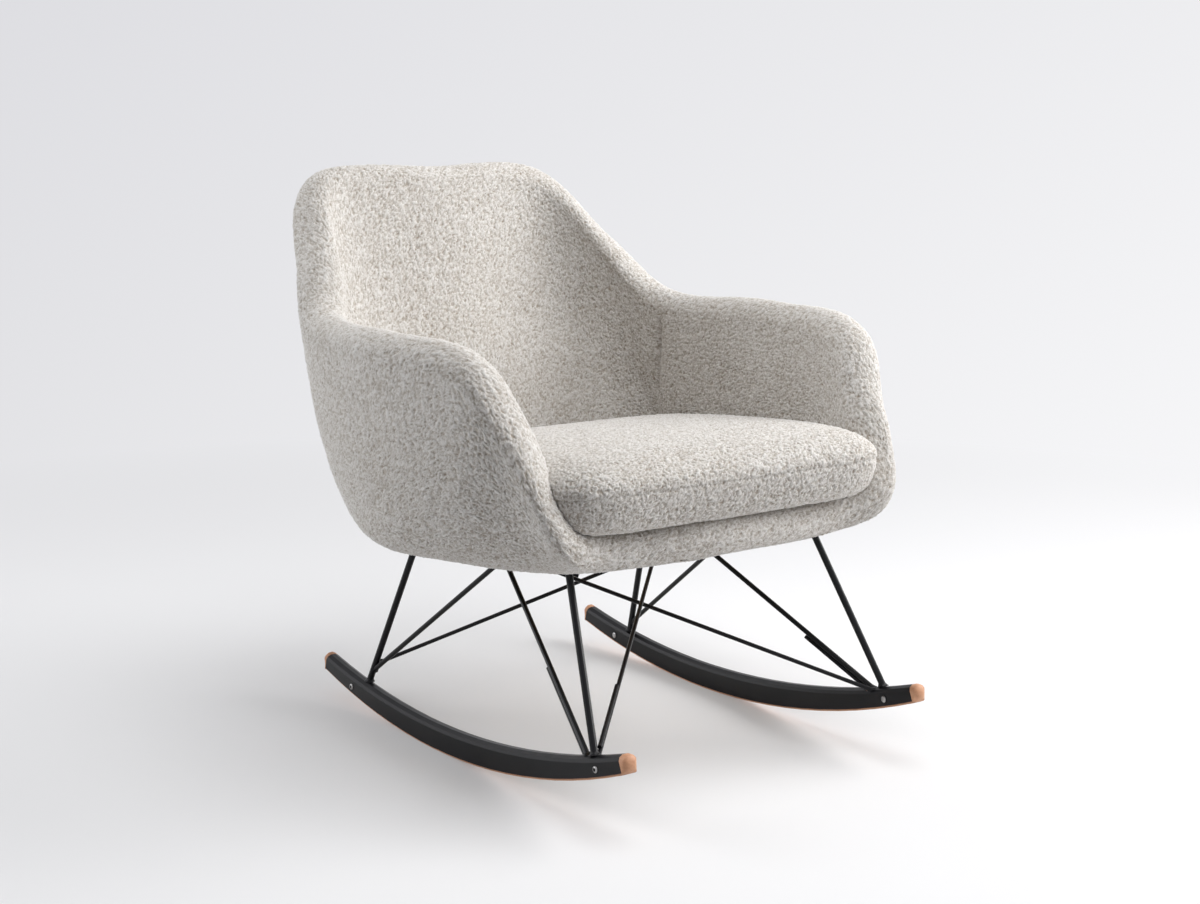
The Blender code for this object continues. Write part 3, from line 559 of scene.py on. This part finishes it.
def tuck(points):
    """Depth of the line where back and arm are drawn together."""
    low, high = np.array(TUCK_LOW), np.array(TUCK_HIGH)
    place = points * np.where(points[:, :1] < 0, (-1, 1, 1), (1, 1, 1)) - (0, SEAT_SHIFT_Y, 0)
    share = np.clip((place - low) @ (high - low) / np.sum((high - low) ** 2), 0, 1)
    away = np.linalg.norm(place - low - share[:, None] * (high - low), axis=1)
    line = np.exp(-(away / TUCK_WIDTH) ** 2)
    fold = np.exp(-(away / (FOLD_WIDTH * TUCK_WIDTH)) ** 2)
    return TUCK_DEPTH * (line + FOLD_SHARE * fold) * np.clip((1 - share) * TUCK_FADE, 0, 1)


def keep_over(piece, board, clear):
    """Lift the cover wherever it comes too near the board that it goes round."""
    tree = BVHTree.FromObject(board, bpy.context.evaluated_depsgraph_get())
    points = mesh_points(piece)
    normals = mesh_normals(piece)
    for i in np.flatnonzero((points[:, 2] > BOARD_LOW) | (normals[:, 2] > BOARD_UPWARD)):
        out = Vector(normals[i])
        hit = tree.ray_cast(Vector(points[i]) + out * BOARD_SEARCH, -out, BOARD_SEARCH + clear)[0]
        if hit is not None:
            points[i] = hit + out * clear
    move_points(piece, points)


def build_bucket_cover():
    """Foam and curly cover of the bucket in one piece."""
    thin = 1
    columns = COVER_COLUMNS // thin
    rows = [count // thin for count in (OUTER_ROWS, RIM_ROWS, INNER_ROWS, DECK_ROWS)]
    rings = cover_rows(columns, *rows)
    cover = closed_rings("bucket_cover", rings)
    unroll(cover, columns, len(rings))
    face_outwards(cover)
    points = mesh_points(cover)
    slack = sum(soft_noise(points, pitch, salt) * height for pitch, height, salt in SLACK)
    move_points(cover, points + mesh_normals(cover) * (slack - tuck(points))[:, None])
    keep_over(cover, nodes["bucket_shell"], LEAST_FOAM)
    return cover


# Cushion


def plan_outline(count):
    """The cushion's plan outline at its seam, all the way round."""
    keys = mirrored_keys(CUSHION_PLAN, 1)
    half = count // 2
    fine = np.linspace(0, len(CUSHION_PLAN) - 1, 1000)
    line = smooth_mix(keys, fine)
    walked = np.concatenate([[0], np.cumsum(np.linalg.norm(np.diff(line, axis=0), axis=1))])
    side = smooth_mix(keys, np.interp(np.linspace(0, walked[-1], half + 1), walked, fine))
    return np.vstack([side, side[-2:0:-1] * [-1, 1]])


def droop(y, rise):
    """How far the front of the cushion hangs down at a depth and a height."""
    ahead = np.clip((DROOP_START_Y - y) / DROOP_LENGTH, 0, 1) ** 1.5
    return CUSHION_DROOP * ahead * max(0.0, 1 - rise / DROOP_HEIGHT)


def cushion_rings(count):
    """The cushion before it is filled: flat below, boxed to the seam, and crowned above."""
    outline = plan_outline(count)
    centre = np.array([0.0, CUSHION_CENTRE_Y])
    depths, crowns = np.array(CUSHION_CROWN).T
    lowest = DECK_RISE + CUSHION_GAP
    rings = []
    for inset, rise in CUSHION_SIDE:
        flat = centre + (outline - centre) * (1 - inset)
        height = on_seat(flat[:, 1], lowest + rise) - droop(flat[:, 1], rise)
        rings.append(np.stack([flat[:, 0], flat[:, 1] + SEAT_SHIFT_Y, height], axis=1))
    for degrees in CROWN_DEGREES:
        angle = math.radians(degrees)
        flat = centre + (outline - centre) * math.cos(angle) ** (2 / CUSHION_PLAN_BOX)
        crown = np.interp(flat[:, 1], depths, crowns) * math.sin(angle) ** (2 / CUSHION_SHOULDER)
        height = on_seat(flat[:, 1], lowest + CUSHION_SEAM_RISE + crown)
        rings.append(np.stack([flat[:, 0], flat[:, 1] + SEAT_SHIFT_Y, height], axis=1))
    return rings


def remesh(piece, voxel):
    """Even quads all over a closed piece."""
    select_only(piece)
    piece.data.remesh_voxel_size = voxel
    bpy.ops.object.voxel_remesh()


def fill_with_air(piece, pressure, most):
    """Let pressure fill a padded piece as cloth, and cap how far it swells."""
    before = mesh_points(piece)
    cloth = piece.modifiers.new("filling", "CLOTH")
    cloth.settings.use_pressure = True
    cloth.settings.uniform_pressure_force = pressure
    cloth.settings.effector_weights.gravity = 0
    cloth.settings.tension_stiffness = COVER_STRETCH
    cloth.settings.compression_stiffness = COVER_STRETCH
    cloth.settings.bending_stiffness = COVER_BEND
    cloth.settings.quality = FILL_STEPS
    cloth.point_cache.frame_start = 1
    cloth.point_cache.frame_end = FILL_FRAMES
    scene = bpy.context.scene
    for frame_number in range(1, FILL_FRAMES + 1):
        scene.frame_set(frame_number)
    bpy.ops.object.modifier_apply(modifier="filling")
    scene.frame_set(1)
    after = mesh_points(piece)
    travel = after - before
    length = np.linalg.norm(travel, axis=1)
    share = np.minimum(1.0, most / np.maximum(length, 1e-9))
    move_points(piece, before + travel * share[:, None])


def press_against(piece, other, clear, chosen=None):
    """Where the piece reaches into the other, bring it back to the surface."""
    tree = BVHTree.FromObject(other, bpy.context.evaluated_depsgraph_get())
    points = mesh_points(piece)
    for i in np.flatnonzero(chosen(points)) if chosen else range(len(points)):
        p = Vector(points[i])
        near, normal, _, away = tree.find_nearest(p, CONTACT_SEARCH)
        if near is not None and (away < clear or (p - near).dot(normal) < 0):
            points[i] = near + normal * clear
    move_points(piece, points)


def front_corners(points):
    """The points near the bucket's two front corners, where the cushion lies on the rim."""
    out, forward, high = FRONT_CORNERS
    return (np.abs(points[:, 0]) > out) & (points[:, 1] < forward) & (points[:, 2] > high)


def subdivide(piece, levels):
    """Split every face of the piece, smoothly."""
    cut = piece.modifiers.new("finer", "SUBSURF")
    cut.levels = cut.render_levels = levels
    select_only(piece)
    bpy.ops.object.modifier_apply(modifier="finer")


def build_cushion():
    """Loose seat cushion, filled by cloth simulation."""
    cushion = closed_rings("cushion_cover", cushion_rings(CUSHION_COLUMNS))
    face_outwards(cushion)
    remesh(cushion, CUSHION_FACE)
    fill_with_air(cushion, FILL_PRESSURE, FILL_MOST)
    return cushion


def finish_cushion(cushion):
    """Seam and curly pile of the cushion."""
    subdivide(cushion, 2)
    points = mesh_points(cushion)
    height = points[:, 2] - on_seat(points[:, 1] - SEAT_SHIFT_Y, DECK_RISE + CUSHION_SEAM_RISE)
    groove = np.exp(-(height / SEAM_WIDTH) ** 2) * SEAM_DEPTH
    move_points(cushion, points - mesh_normals(cushion) * groove[:, None])
    raise_pile(cushion, CUSHION_SALT)


# Rockers and frame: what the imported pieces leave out


def start_editing():
    """Shape the active piece by hand, with all of it selected."""
    bpy.ops.object.mode_set(mode="EDIT")
    bpy.ops.mesh.select_mode(type="FACE")
    bpy.ops.mesh.select_all(action="SELECT")


def stop_editing():
    """Back from shaping a piece."""
    bpy.ops.object.mode_set(mode="OBJECT")


def pull_out(path, step, size):
    """Extrude what is selected along a way, and resize its new end."""
    move = tuple(c * step for c in path)
    bpy.ops.mesh.extrude_region_move(TRANSFORM_OT_translate={"value": move})
    bpy.ops.transform.resize(value=(size, size, size))


def choose_faces(piece, wanted):
    """Select only the faces whose centre and normal are wanted."""
    shape = bmesh.from_edit_mesh(piece.data)
    for face in shape.faces:
        face.select_set(False)
    for face in shape.faces:
        if wanted(face.calc_center_median(), face.normal):
            face.select_set(True)
    bmesh.update_edit_mesh(piece.data)


def shade_by_angle(piece, degrees):
    """Shade a piece smooth where its faces meet at less than an angle."""
    select_only(piece)
    bpy.ops.object.shade_smooth_by_angle(angle=math.radians(degrees))


def build_runner(side):
    """Beech runner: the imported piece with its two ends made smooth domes."""
    runner = place_piece("beech_runner_" + side, nodes["wooden_runner_" + side].data.copy())
    start_editing()
    bpy.ops.mesh.remove_doubles(threshold=0.00001)
    for place, way in RUNNER_ENDS:
        bpy.ops.mesh.select_all(action="SELECT")
        bpy.ops.mesh.bisect(plane_co=place, plane_no=way, use_fill=True, clear_outer=True)
        out = Vector(way).normalized()
        reached, size = 0.0, 1.0
        for share in DOME_STEPS:
            wide = math.sqrt(1 - share * share)
            pull_out(out, (share - reached) * DOME_LENGTH, wide / size)
            bpy.ops.transform.tosphere(value=DOME_ROUNDNESS)
            reached, size = share, wide
    stop_editing()
    face_outwards(runner)
    runner.data.shade_smooth()
    shade_by_angle(runner, RUNNER_SMOOTH)
    return runner


def model_bolt():
    """Button head with a socket, and its shank, pointing up from the channel's side."""
    bpy.ops.object.select_all(action="DESELECT")
    bpy.ops.mesh.primitive_circle_add(vertices=32, radius=BOLT_HEAD, fill_type="NGON")
    bolt = bpy.context.active_object
    start_editing()
    up = (0, 0, 1)
    for step, size in BUTTON_STEPS:
        pull_out(up, step, size)
    bpy.ops.mesh.inset(thickness=SOCKET_LIP)
    pull_out(up, -SOCKET_DEPTH, SOCKET_TAPER)
    choose_faces(bolt, lambda centre, normal: normal.z < -0.9 and centre.z < 0.0001)
    bpy.ops.mesh.inset(thickness=BOLT_HEAD - BOLT_SHANK)
    pull_out(up, -BOLT_REACH, 1.0)
    stop_editing()
    face_outwards(bolt)
    # The socket's bottom is marked for painted shade in the zinc.
    points = mesh_points(bolt)
    inside = np.linalg.norm(points[:, :2], axis=1) < BOLT_HEAD * SOCKET_REACH
    deep = inside & (points[:, 2] > 0) & (points[:, 2] < SOCKET_SHADE_BELOW)
    socket_shade = bolt.data.attributes.new("socket_shade", "FLOAT", "POINT")
    socket_shade.data.foreach_set("value", deep.astype(np.float32))
    return bolt


def model_weld():
    """One weld: a rippled collar that spreads at its foot, one unit wide and one high."""
    bpy.ops.object.select_all(action="DESELECT")
    bpy.ops.mesh.primitive_circle_add(vertices=20, radius=WELD_FOOT, fill_type="NGON")
    weld = bpy.context.active_object
    start_editing()
    for step, size in WELD_STEPS:
        pull_out((0, 0, 1), step, size)
    bpy.ops.mesh.select_all(action="SELECT")
    bpy.ops.transform.vertex_random(offset=WELD_RIPPLE, uniform=0.2, normal=0.8, seed=4)
    stop_editing()
    face_outwards(weld)
    return weld


def copy_of(model, name, matrix):
    """A copy of a modelled piece with its own mesh, put in place by a matrix."""
    piece = place_piece(name, model.data.copy())
    piece.data.transform(matrix)
    face_outwards(piece)
    return piece


def join_pieces(name, pieces):
    """Several pieces as one."""
    select_only(pieces[0])
    for piece in pieces:
        piece.select_set(True)
    bpy.ops.object.join()
    pieces[0].name = name
    return pieces[0]


def build_bolts():
    """Sleeve bolts through both channels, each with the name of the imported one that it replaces."""
    model = model_bolt()
    made = []
    for place in BOLT_PLACES:
        points = mesh_points(nodes["sleeve_bolt_" + place])
        middle = (points.min(axis=0) + points.max(axis=0)) / 2
        out = 1.0 if middle[0] > 0 else -1.0
        seat = Vector((out * CHANNEL_SIDE, middle[1], middle[2]))
        matrix = Matrix.Translation(seat) @ Matrix.Rotation(out * math.pi / 2, 4, "Y")
        bolt = copy_of(model, "socket_bolt_" + place, matrix)
        shade_by_angle(bolt, BOLT_SMOOTH)
        made.append((bolt, "sleeve_bolt_" + place))
    bpy.data.objects.remove(model)
    return made


def rod_ends(rod):
    """Both ends of a rod: centre, two half widths of its cut, and the way into the rod."""
    points = mesh_points(nodes[rod])
    middle = points.mean(axis=0)
    along = np.linalg.svd(points - middle, full_matrices=False)[2][0]
    reach = (points - middle) @ along
    ends = []
    for sign in (-1, 1):
        far = np.max(reach * sign)
        cut = np.unique(np.round(points[reach * sign > far - ROD_CUT_DEPTH], 5), axis=0)
        centre = (cut.min(axis=0) + cut.max(axis=0)) / 2
        axes = np.linalg.svd(cut - centre, full_matrices=False)[2]
        spans = [np.abs((cut - centre) @ axis).max() * axis for axis in axes[:2]]
        ends.append((centre, spans[0], spans[1], -along * sign))
    return ends


def build_welds():
    """Welds at both ends of every leg and brace."""
    model = model_weld()
    pieces = []
    for part in frame["record"]["subparts"]:
        rod = part["node"]
        if "leg" not in rod and "brace" not in rod:
            continue
        for centre, first, second, inward in rod_ends(rod):
            columns = [*first, 0], [*second, 0], [*(inward * WELD_HEIGHT), 0], [*centre, 1]
            pieces.append(copy_of(model, "weld", Matrix(columns).transposed()))
    bpy.data.objects.remove(model)
    welds = join_pieces("frame_welds", pieces)
    shade_by_angle(welds, WELD_SMOOTH)
    return welds


# Finishes


class Signal:
    """A socket of a finish. Python's operators add Math nodes to it."""

    def __init__(self, finish, socket):
        self.finish = finish
        self.socket = socket

    def math(self, operation, *others):
        """A Math node with this socket first."""
        values = {i: v for i, v in enumerate((self, *others))}
        return self.finish.node("ShaderNodeMath", {"operation": operation}, values)

    def __add__(self, other):
        return self.math("ADD", other)

    def __sub__(self, other):
        return self.math("SUBTRACT", other)

    def __mul__(self, other):
        return self.math("MULTIPLY", other)

    def __rsub__(self, other):
        return self.finish.node("ShaderNodeMath", {"operation": "SUBTRACT"}, {0: other, 1: self})

    __radd__ = __add__
    __rmul__ = __mul__

    def between(self, low, high):
        """Brought from the range low to high to the range 0 to 1."""
        values = {"Value": self, "From Min": low, "From Max": high}
        return self.finish.node("ShaderNodeMapRange", {"clamp": True}, values)


class Nodes:
    """Adds nodes to a node tree and links them."""

    def __init__(self, tree):
        self.tree = tree

    def node(self, kind, settings=None, values=None, output=0):
        """Add a node, set it up, and fill its sockets with values or links."""
        node = self.tree.nodes.new(kind)
        for key, value in (settings or {}).items():
            setattr(node, key, value)
        for key, value in (values or {}).items():
            self.fill(node.inputs[key], value)
        return Signal(self, node.outputs[output])

    def fill(self, socket, value):
        """Link a signal to a socket, or set the socket's value."""
        if isinstance(value, Signal):
            self.tree.links.new(value.socket, socket)
        else:
            socket.default_value = value

    def vector(self, operation, first, second=None, output=0):
        """A Vector Math node."""
        values = {0: first} if second is None else {0: first, 1: second}
        return self.node("ShaderNodeVectorMath", {"operation": operation}, values, output)

    def place(self, scale=(1, 1, 1), turn=(0, 0, 0)):
        """Object coordinates, scaled and turned."""
        where = self.node("ShaderNodeTexCoord", output="Object")
        values = {"Vector": where, "Scale": scale, "Rotation": turn}
        return self.node("ShaderNodeMapping", None, values)

    def noise(self, where, scale, detail=2.0, roughness=0.5, distortion=0.0):
        """Noise from 0 to 1."""
        values = {
            "Vector": where,
            "Scale": scale,
            "Detail": detail,
            "Roughness": roughness,
            "Distortion": distortion,
        }
        return self.node("ShaderNodeTexNoise", None, values, "Fac")

    def blend(self, share, first, second):
        """A colour between two colours."""
        settings = {"data_type": "RGBA"}
        values = {"Factor": share, 6: first, 7: second}
        return self.node("ShaderNodeMix", settings, values, 2)

    def bump(self, height, strength, distance):
        """A normal from a height."""
        values = {"Height": height, "Strength": strength, "Distance": distance}
        return self.node("ShaderNodeBump", None, values)


class Finish(Nodes):
    """A material with one shader, made of nodes."""

    def __init__(self, name, **constants):
        self.material = bpy.data.materials.new(name)
        self.material.use_nodes = True
        super().__init__(self.material.node_tree)
        self.shader = self.tree.nodes["Principled BSDF"]
        for socket, value in constants.items():
            self.shader.inputs[socket.replace("_", " ")].default_value = value

    def feed(self, **signals):
        """Link signals to the shader's sockets."""
        for socket, value in signals.items():
            self.fill(self.shader.inputs[socket.replace("_", " ")], value)
        return self.material


def tone(red, green, blue):
    """A colour with full alpha."""
    return (red, green, blue, 1.0)


def curly_pile(name):
    """Curly wool pile: pale loops over pits darkened and browned as painted shade, with fine fibres on them.
    """
    finish = Finish(name, Roughness=0.95, Sheen_Weight=0.15, Sheen_Roughness=0.6, Specular_IOR_Level=0.12)
    where = finish.place()
    pile = finish.node("ShaderNodeAttribute", {"attribute_name": "pile"}, None, "Fac")
    fibres = finish.noise(where, 1500, 2.0, 0.6, 0.8)
    loops = finish.noise(where, 520, 2.0, 0.5, 1.2)
    patches = finish.noise(where, 14, 2.0, 0.5)
    height = pile * 0.42 + loops * 0.62 + fibres * 0.22
    share = (height + patches * 0.06).between(0.46, 0.78)
    # Low pile gets the painted shade of the pits; the fibre and patch noise varies the tone at random.
    colour = finish.blend(share, PILE_PIT_SHADE, PILE_LIGHT)
    return finish.feed(Base_Color=colour, Normal=finish.bump(height, 0.9, 0.0014))


def powder_black(name):
    """Satin black powder coat on steel."""
    finish = Finish(name, Specular_IOR_Level=0.22)
    where = finish.place()
    grain = finish.noise(where, 900, 2.0, 0.5)
    wear = finish.noise(where, 14, 4.0, 0.6)
    colour = finish.blend(wear.between(0.3, 0.8), tone(0.004, 0.004, 0.0055), tone(0.009, 0.009, 0.011))
    rough = 0.25 + wear * 0.12 + grain * 0.06
    return finish.feed(Base_Color=colour, Roughness=rough, Normal=finish.bump(grain, 0.12, 0.0003))


def beech_wood(name):
    """Oiled beech with its grain along the runner."""
    finish = Finish(name, Specular_IOR_Level=0.4)
    where = finish.place((1, 0.06, 1))
    wide = finish.noise(where, 160, 3.0, 0.55, 0.8)
    lines = finish.noise(where, 900, 3.0, 0.6)
    flecks = finish.noise(finish.place((1, 0.2, 1)), 1500, 1.0, 0.5)
    share = (wide * 0.65 + lines * 0.35).between(0.28, 0.72)
    colour = finish.blend(share, tone(0.50, 0.235, 0.125), tone(0.70, 0.385, 0.235))
    colour = finish.blend(flecks.between(0.60, 0.70) * 0.35, colour, tone(0.33, 0.14, 0.07))
    rough = 0.42 + lines * 0.16
    return finish.feed(Base_Color=colour, Roughness=rough, Normal=finish.bump(lines, 0.15, 0.0003))


def bright_zinc(name):
    """Bright zinc on bolts and nuts, with painted shade at the bottom of the bolts' sockets."""
    finish = Finish(name, Metallic=1.0)
    where = finish.place()
    fine = finish.noise(where, 1800, 2.0, 0.5)
    spots = finish.noise(where, 300, 3.0, 0.6)
    socket_shade = finish.node("ShaderNodeAttribute", {"attribute_name": "socket_shade"}, None, "Fac")
    colour = finish.blend(spots, tone(0.30, 0.30, 0.31), tone(0.48, 0.47, 0.46))
    # Painted shade darkens the bottom of the socket.
    colour = finish.blend(socket_shade, colour, tone(0.03, 0.03, 0.03))
    return finish.feed(Base_Color=colour, Roughness=0.22 + spots * 0.2, Normal=finish.bump(fine, 0.1, 0.0002))


def plywood(name):
    """Raw plywood: long grain on the faces and thin plies on the edges."""
    finish = Finish(name)
    where = finish.place((1, 0.08, 1))
    grain = finish.noise(where, 240, 4.0, 0.6, 0.5)
    plies = finish.noise(finish.place((0.02, 0.02, 1)), 700, 1.0, 0.5)
    share = (grain * 0.6 + plies * 0.4).between(0.3, 0.7)
    colour = finish.blend(share, tone(0.42, 0.28, 0.16), tone(0.66, 0.49, 0.31))
    return finish.feed(Base_Color=colour, Roughness=0.6 + grain * 0.2, Normal=finish.bump(grain, 0.2, 0.0004))


def moulded_board(name):
    """Dark moulded board with a fine grain."""
    finish = Finish(name)
    grain = finish.noise(finish.place(), 420, 3.0, 0.6)
    colour = finish.blend(grain, tone(0.05, 0.05, 0.05), tone(0.09, 0.09, 0.09))
    return finish.feed(Base_Color=colour, Roughness=0.6 + grain * 0.2, Normal=finish.bump(grain, 0.3, 0.0004))


def paint(piece, material):
    """Give a whole piece one material."""
    piece.data.materials.clear()
    piece.data.materials.append(material)


# Studio


def backdrop(finish, view):
    """Pale tone of the background along a view: painted darker to the left and upwards, where less light
    falls.
    """
    side = finish.vector("DOT_PRODUCT", view, CAMERA_RIGHT, "Value")
    up = finish.node("ShaderNodeSeparateXYZ", None, {0: view}, 2)
    share = side.between(*BACKDROP_SIDE)
    low = finish.blend(share, *BACKDROP_LOW)
    high = finish.blend(share, *BACKDROP_HIGH)
    return finish.blend(up.between(*BACKDROP_UP), low, high)


def build_floor():
    """Pale floor: shaded round the chair, there with a little glow that pales its shadows, and further out
    glowing in the backdrop's painted tone.
    """
    bpy.ops.object.select_all(action="DESELECT")
    bpy.ops.mesh.primitive_circle_add(vertices=96, radius=FLOOR_RADIUS, fill_type="NGON")
    floor = bpy.context.active_object
    floor.name = "studio_floor"
    finish = Finish("studio_floor", Roughness=0.9, Specular_IOR_Level=0.1)
    where = finish.place()
    seen = finish.node("ShaderNodeLightPath", output="Is Camera Ray")
    # Painted bounce: the floor that the chair sees is brighter behind it and darker before it.
    ahead = finish.vector("DOT_PRODUCT", where, CAMERA_SIDE, "Value")
    bounce = finish.blend(ahead.between(*FLOOR_SPAN), FLOOR_BEHIND, FLOOR_BEFORE)
    finish.feed(Base_Color=finish.blend(seen, bounce, FLOOR_SEEN))
    # The floor glows as painted light, wholly far out and a little near the chair.
    view = finish.vector("NORMALIZE", finish.vector("SUBTRACT", where, CAMERA_PLACE))
    reach = finish.vector("LENGTH", where, output="Value")
    glow = finish.node("ShaderNodeEmission", None, {"Color": backdrop(finish, view), "Strength": 1.0})
    share = (reach.between(*FLOOR_FADE) * (1 - FLOOR_GLOW_NEAR) + FLOOR_GLOW_NEAR) * seen
    values = {0: share, 1: Signal(finish, finish.shader.outputs[0]), 2: glow}
    mixed = finish.node("ShaderNodeMixShader", None, values)
    finish.tree.links.new(mixed.socket, finish.tree.nodes["Material Output"].inputs[0])
    paint(floor, finish.material)


def build_sky():
    """The backdrop as the camera sees it, and an even soft light for everything else."""
    world = bpy.data.worlds.new("studio")
    bpy.context.scene.world = world
    world.use_nodes = True
    sky = Nodes(world.node_tree)
    sky.tree.nodes.clear()
    view = sky.node("ShaderNodeTexCoord", output="Generated")
    seen = sky.node("ShaderNodeBackground", None, {0: backdrop(sky, view)})
    front = sky.vector("DOT_PRODUCT", view, CAMERA_SIDE, "Value")
    strength = SKY_LIGHT - front.between(*SKY_SPAN) * (SKY_LIGHT - SKY_FRONT)
    light = sky.node("ShaderNodeBackground", None, {0: SKY_TONE, 1: strength})
    path = sky.tree.nodes.new("ShaderNodeLightPath")
    seeing = Signal(sky, path.outputs["Is Camera Ray"])
    for ray in ("Is Glossy Ray", "Is Transmission Ray"):
        seeing = seeing.math("MAXIMUM", Signal(sky, path.outputs[ray]))
    mixed = sky.node("ShaderNodeMixShader", None, {0: seeing, 1: light, 2: seen})
    out = sky.tree.nodes.new("ShaderNodeOutputWorld")
    sky.tree.links.new(mixed.socket, out.inputs[0])


def build_studio():
    """Floor, backdrop, soft lamps, and the photo's camera."""
    build_floor()
    build_sky()
    for name, place, target, size, power, colour in LAMPS:
        lamp = bpy.data.lights.new(name, "AREA")
        lamp.shape = "DISK"
        lamp.size = size
        lamp.energy = power
        lamp.color = colour
        holder = bpy.data.objects.new(name, lamp)
        holder.location = place
        holder.rotation_euler = (Vector(target) - Vector(place)).to_track_quat("-Z", "Y").to_euler()
        bpy.context.scene.collection.objects.link(holder)

    camera = bpy.data.cameras.new("camera")
    camera.lens = CAMERA_LENS
    camera.sensor_width = 36.0
    holder = bpy.data.objects.new("camera", camera)
    holder.location = CAMERA_PLACE
    holder.rotation_euler = (CAMERA_TARGET - CAMERA_PLACE).to_track_quat("-Z", "Y").to_euler()
    bpy.context.scene.collection.objects.link(holder)
    bpy.context.scene.camera = holder
    bpy.context.scene.view_settings.view_transform = "Standard"


# Assembly


def dress_nodes():
    """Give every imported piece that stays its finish."""
    finishes = {
        "black_steel": powder_black("powder_black"),
        "beech": beech_wood("beech_wood"),
        "zinc": bright_zinc("bright_zinc"),
        "plywood": plywood("plywood"),
        "shell_board": moulded_board("moulded_board"),
    }
    for part in frame["record"]["subparts"]:
        if part["material_slot"] in finishes:
            paint(nodes[part["node"]], finishes[part["material_slot"]])


build_studio()
dress_nodes()

bucket = build_bucket_cover()
cushion = build_cushion()
press_against(bucket, cushion, RIM_CLEARANCE, front_corners)
press_against(cushion, bucket, CUSHION_CLEARANCE)
raise_pile(bucket, BUCKET_SALT)
finish_cushion(cushion)

paint(bucket, curly_pile("bucket_pile"))
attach(bucket, "chair")
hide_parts("outer_upholstery", "inner_upholstery")

paint(cushion, curly_pile("cushion_pile"))
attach(cushion, "cushion")
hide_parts("seat_cushion")

for side in ("right", "left"):
    runner = build_runner(side)
    paint(runner, bpy.data.materials["beech_wood"])
    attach(runner, "chair")
    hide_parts("wooden_runner_" + side)

for bolt, packed in build_bolts():
    paint(bolt, bpy.data.materials["bright_zinc"])
    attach(bolt, "chair")
    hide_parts(packed)

welds = build_welds()
paint(welds, bpy.data.materials["powder_black"])
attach(welds, "chair")
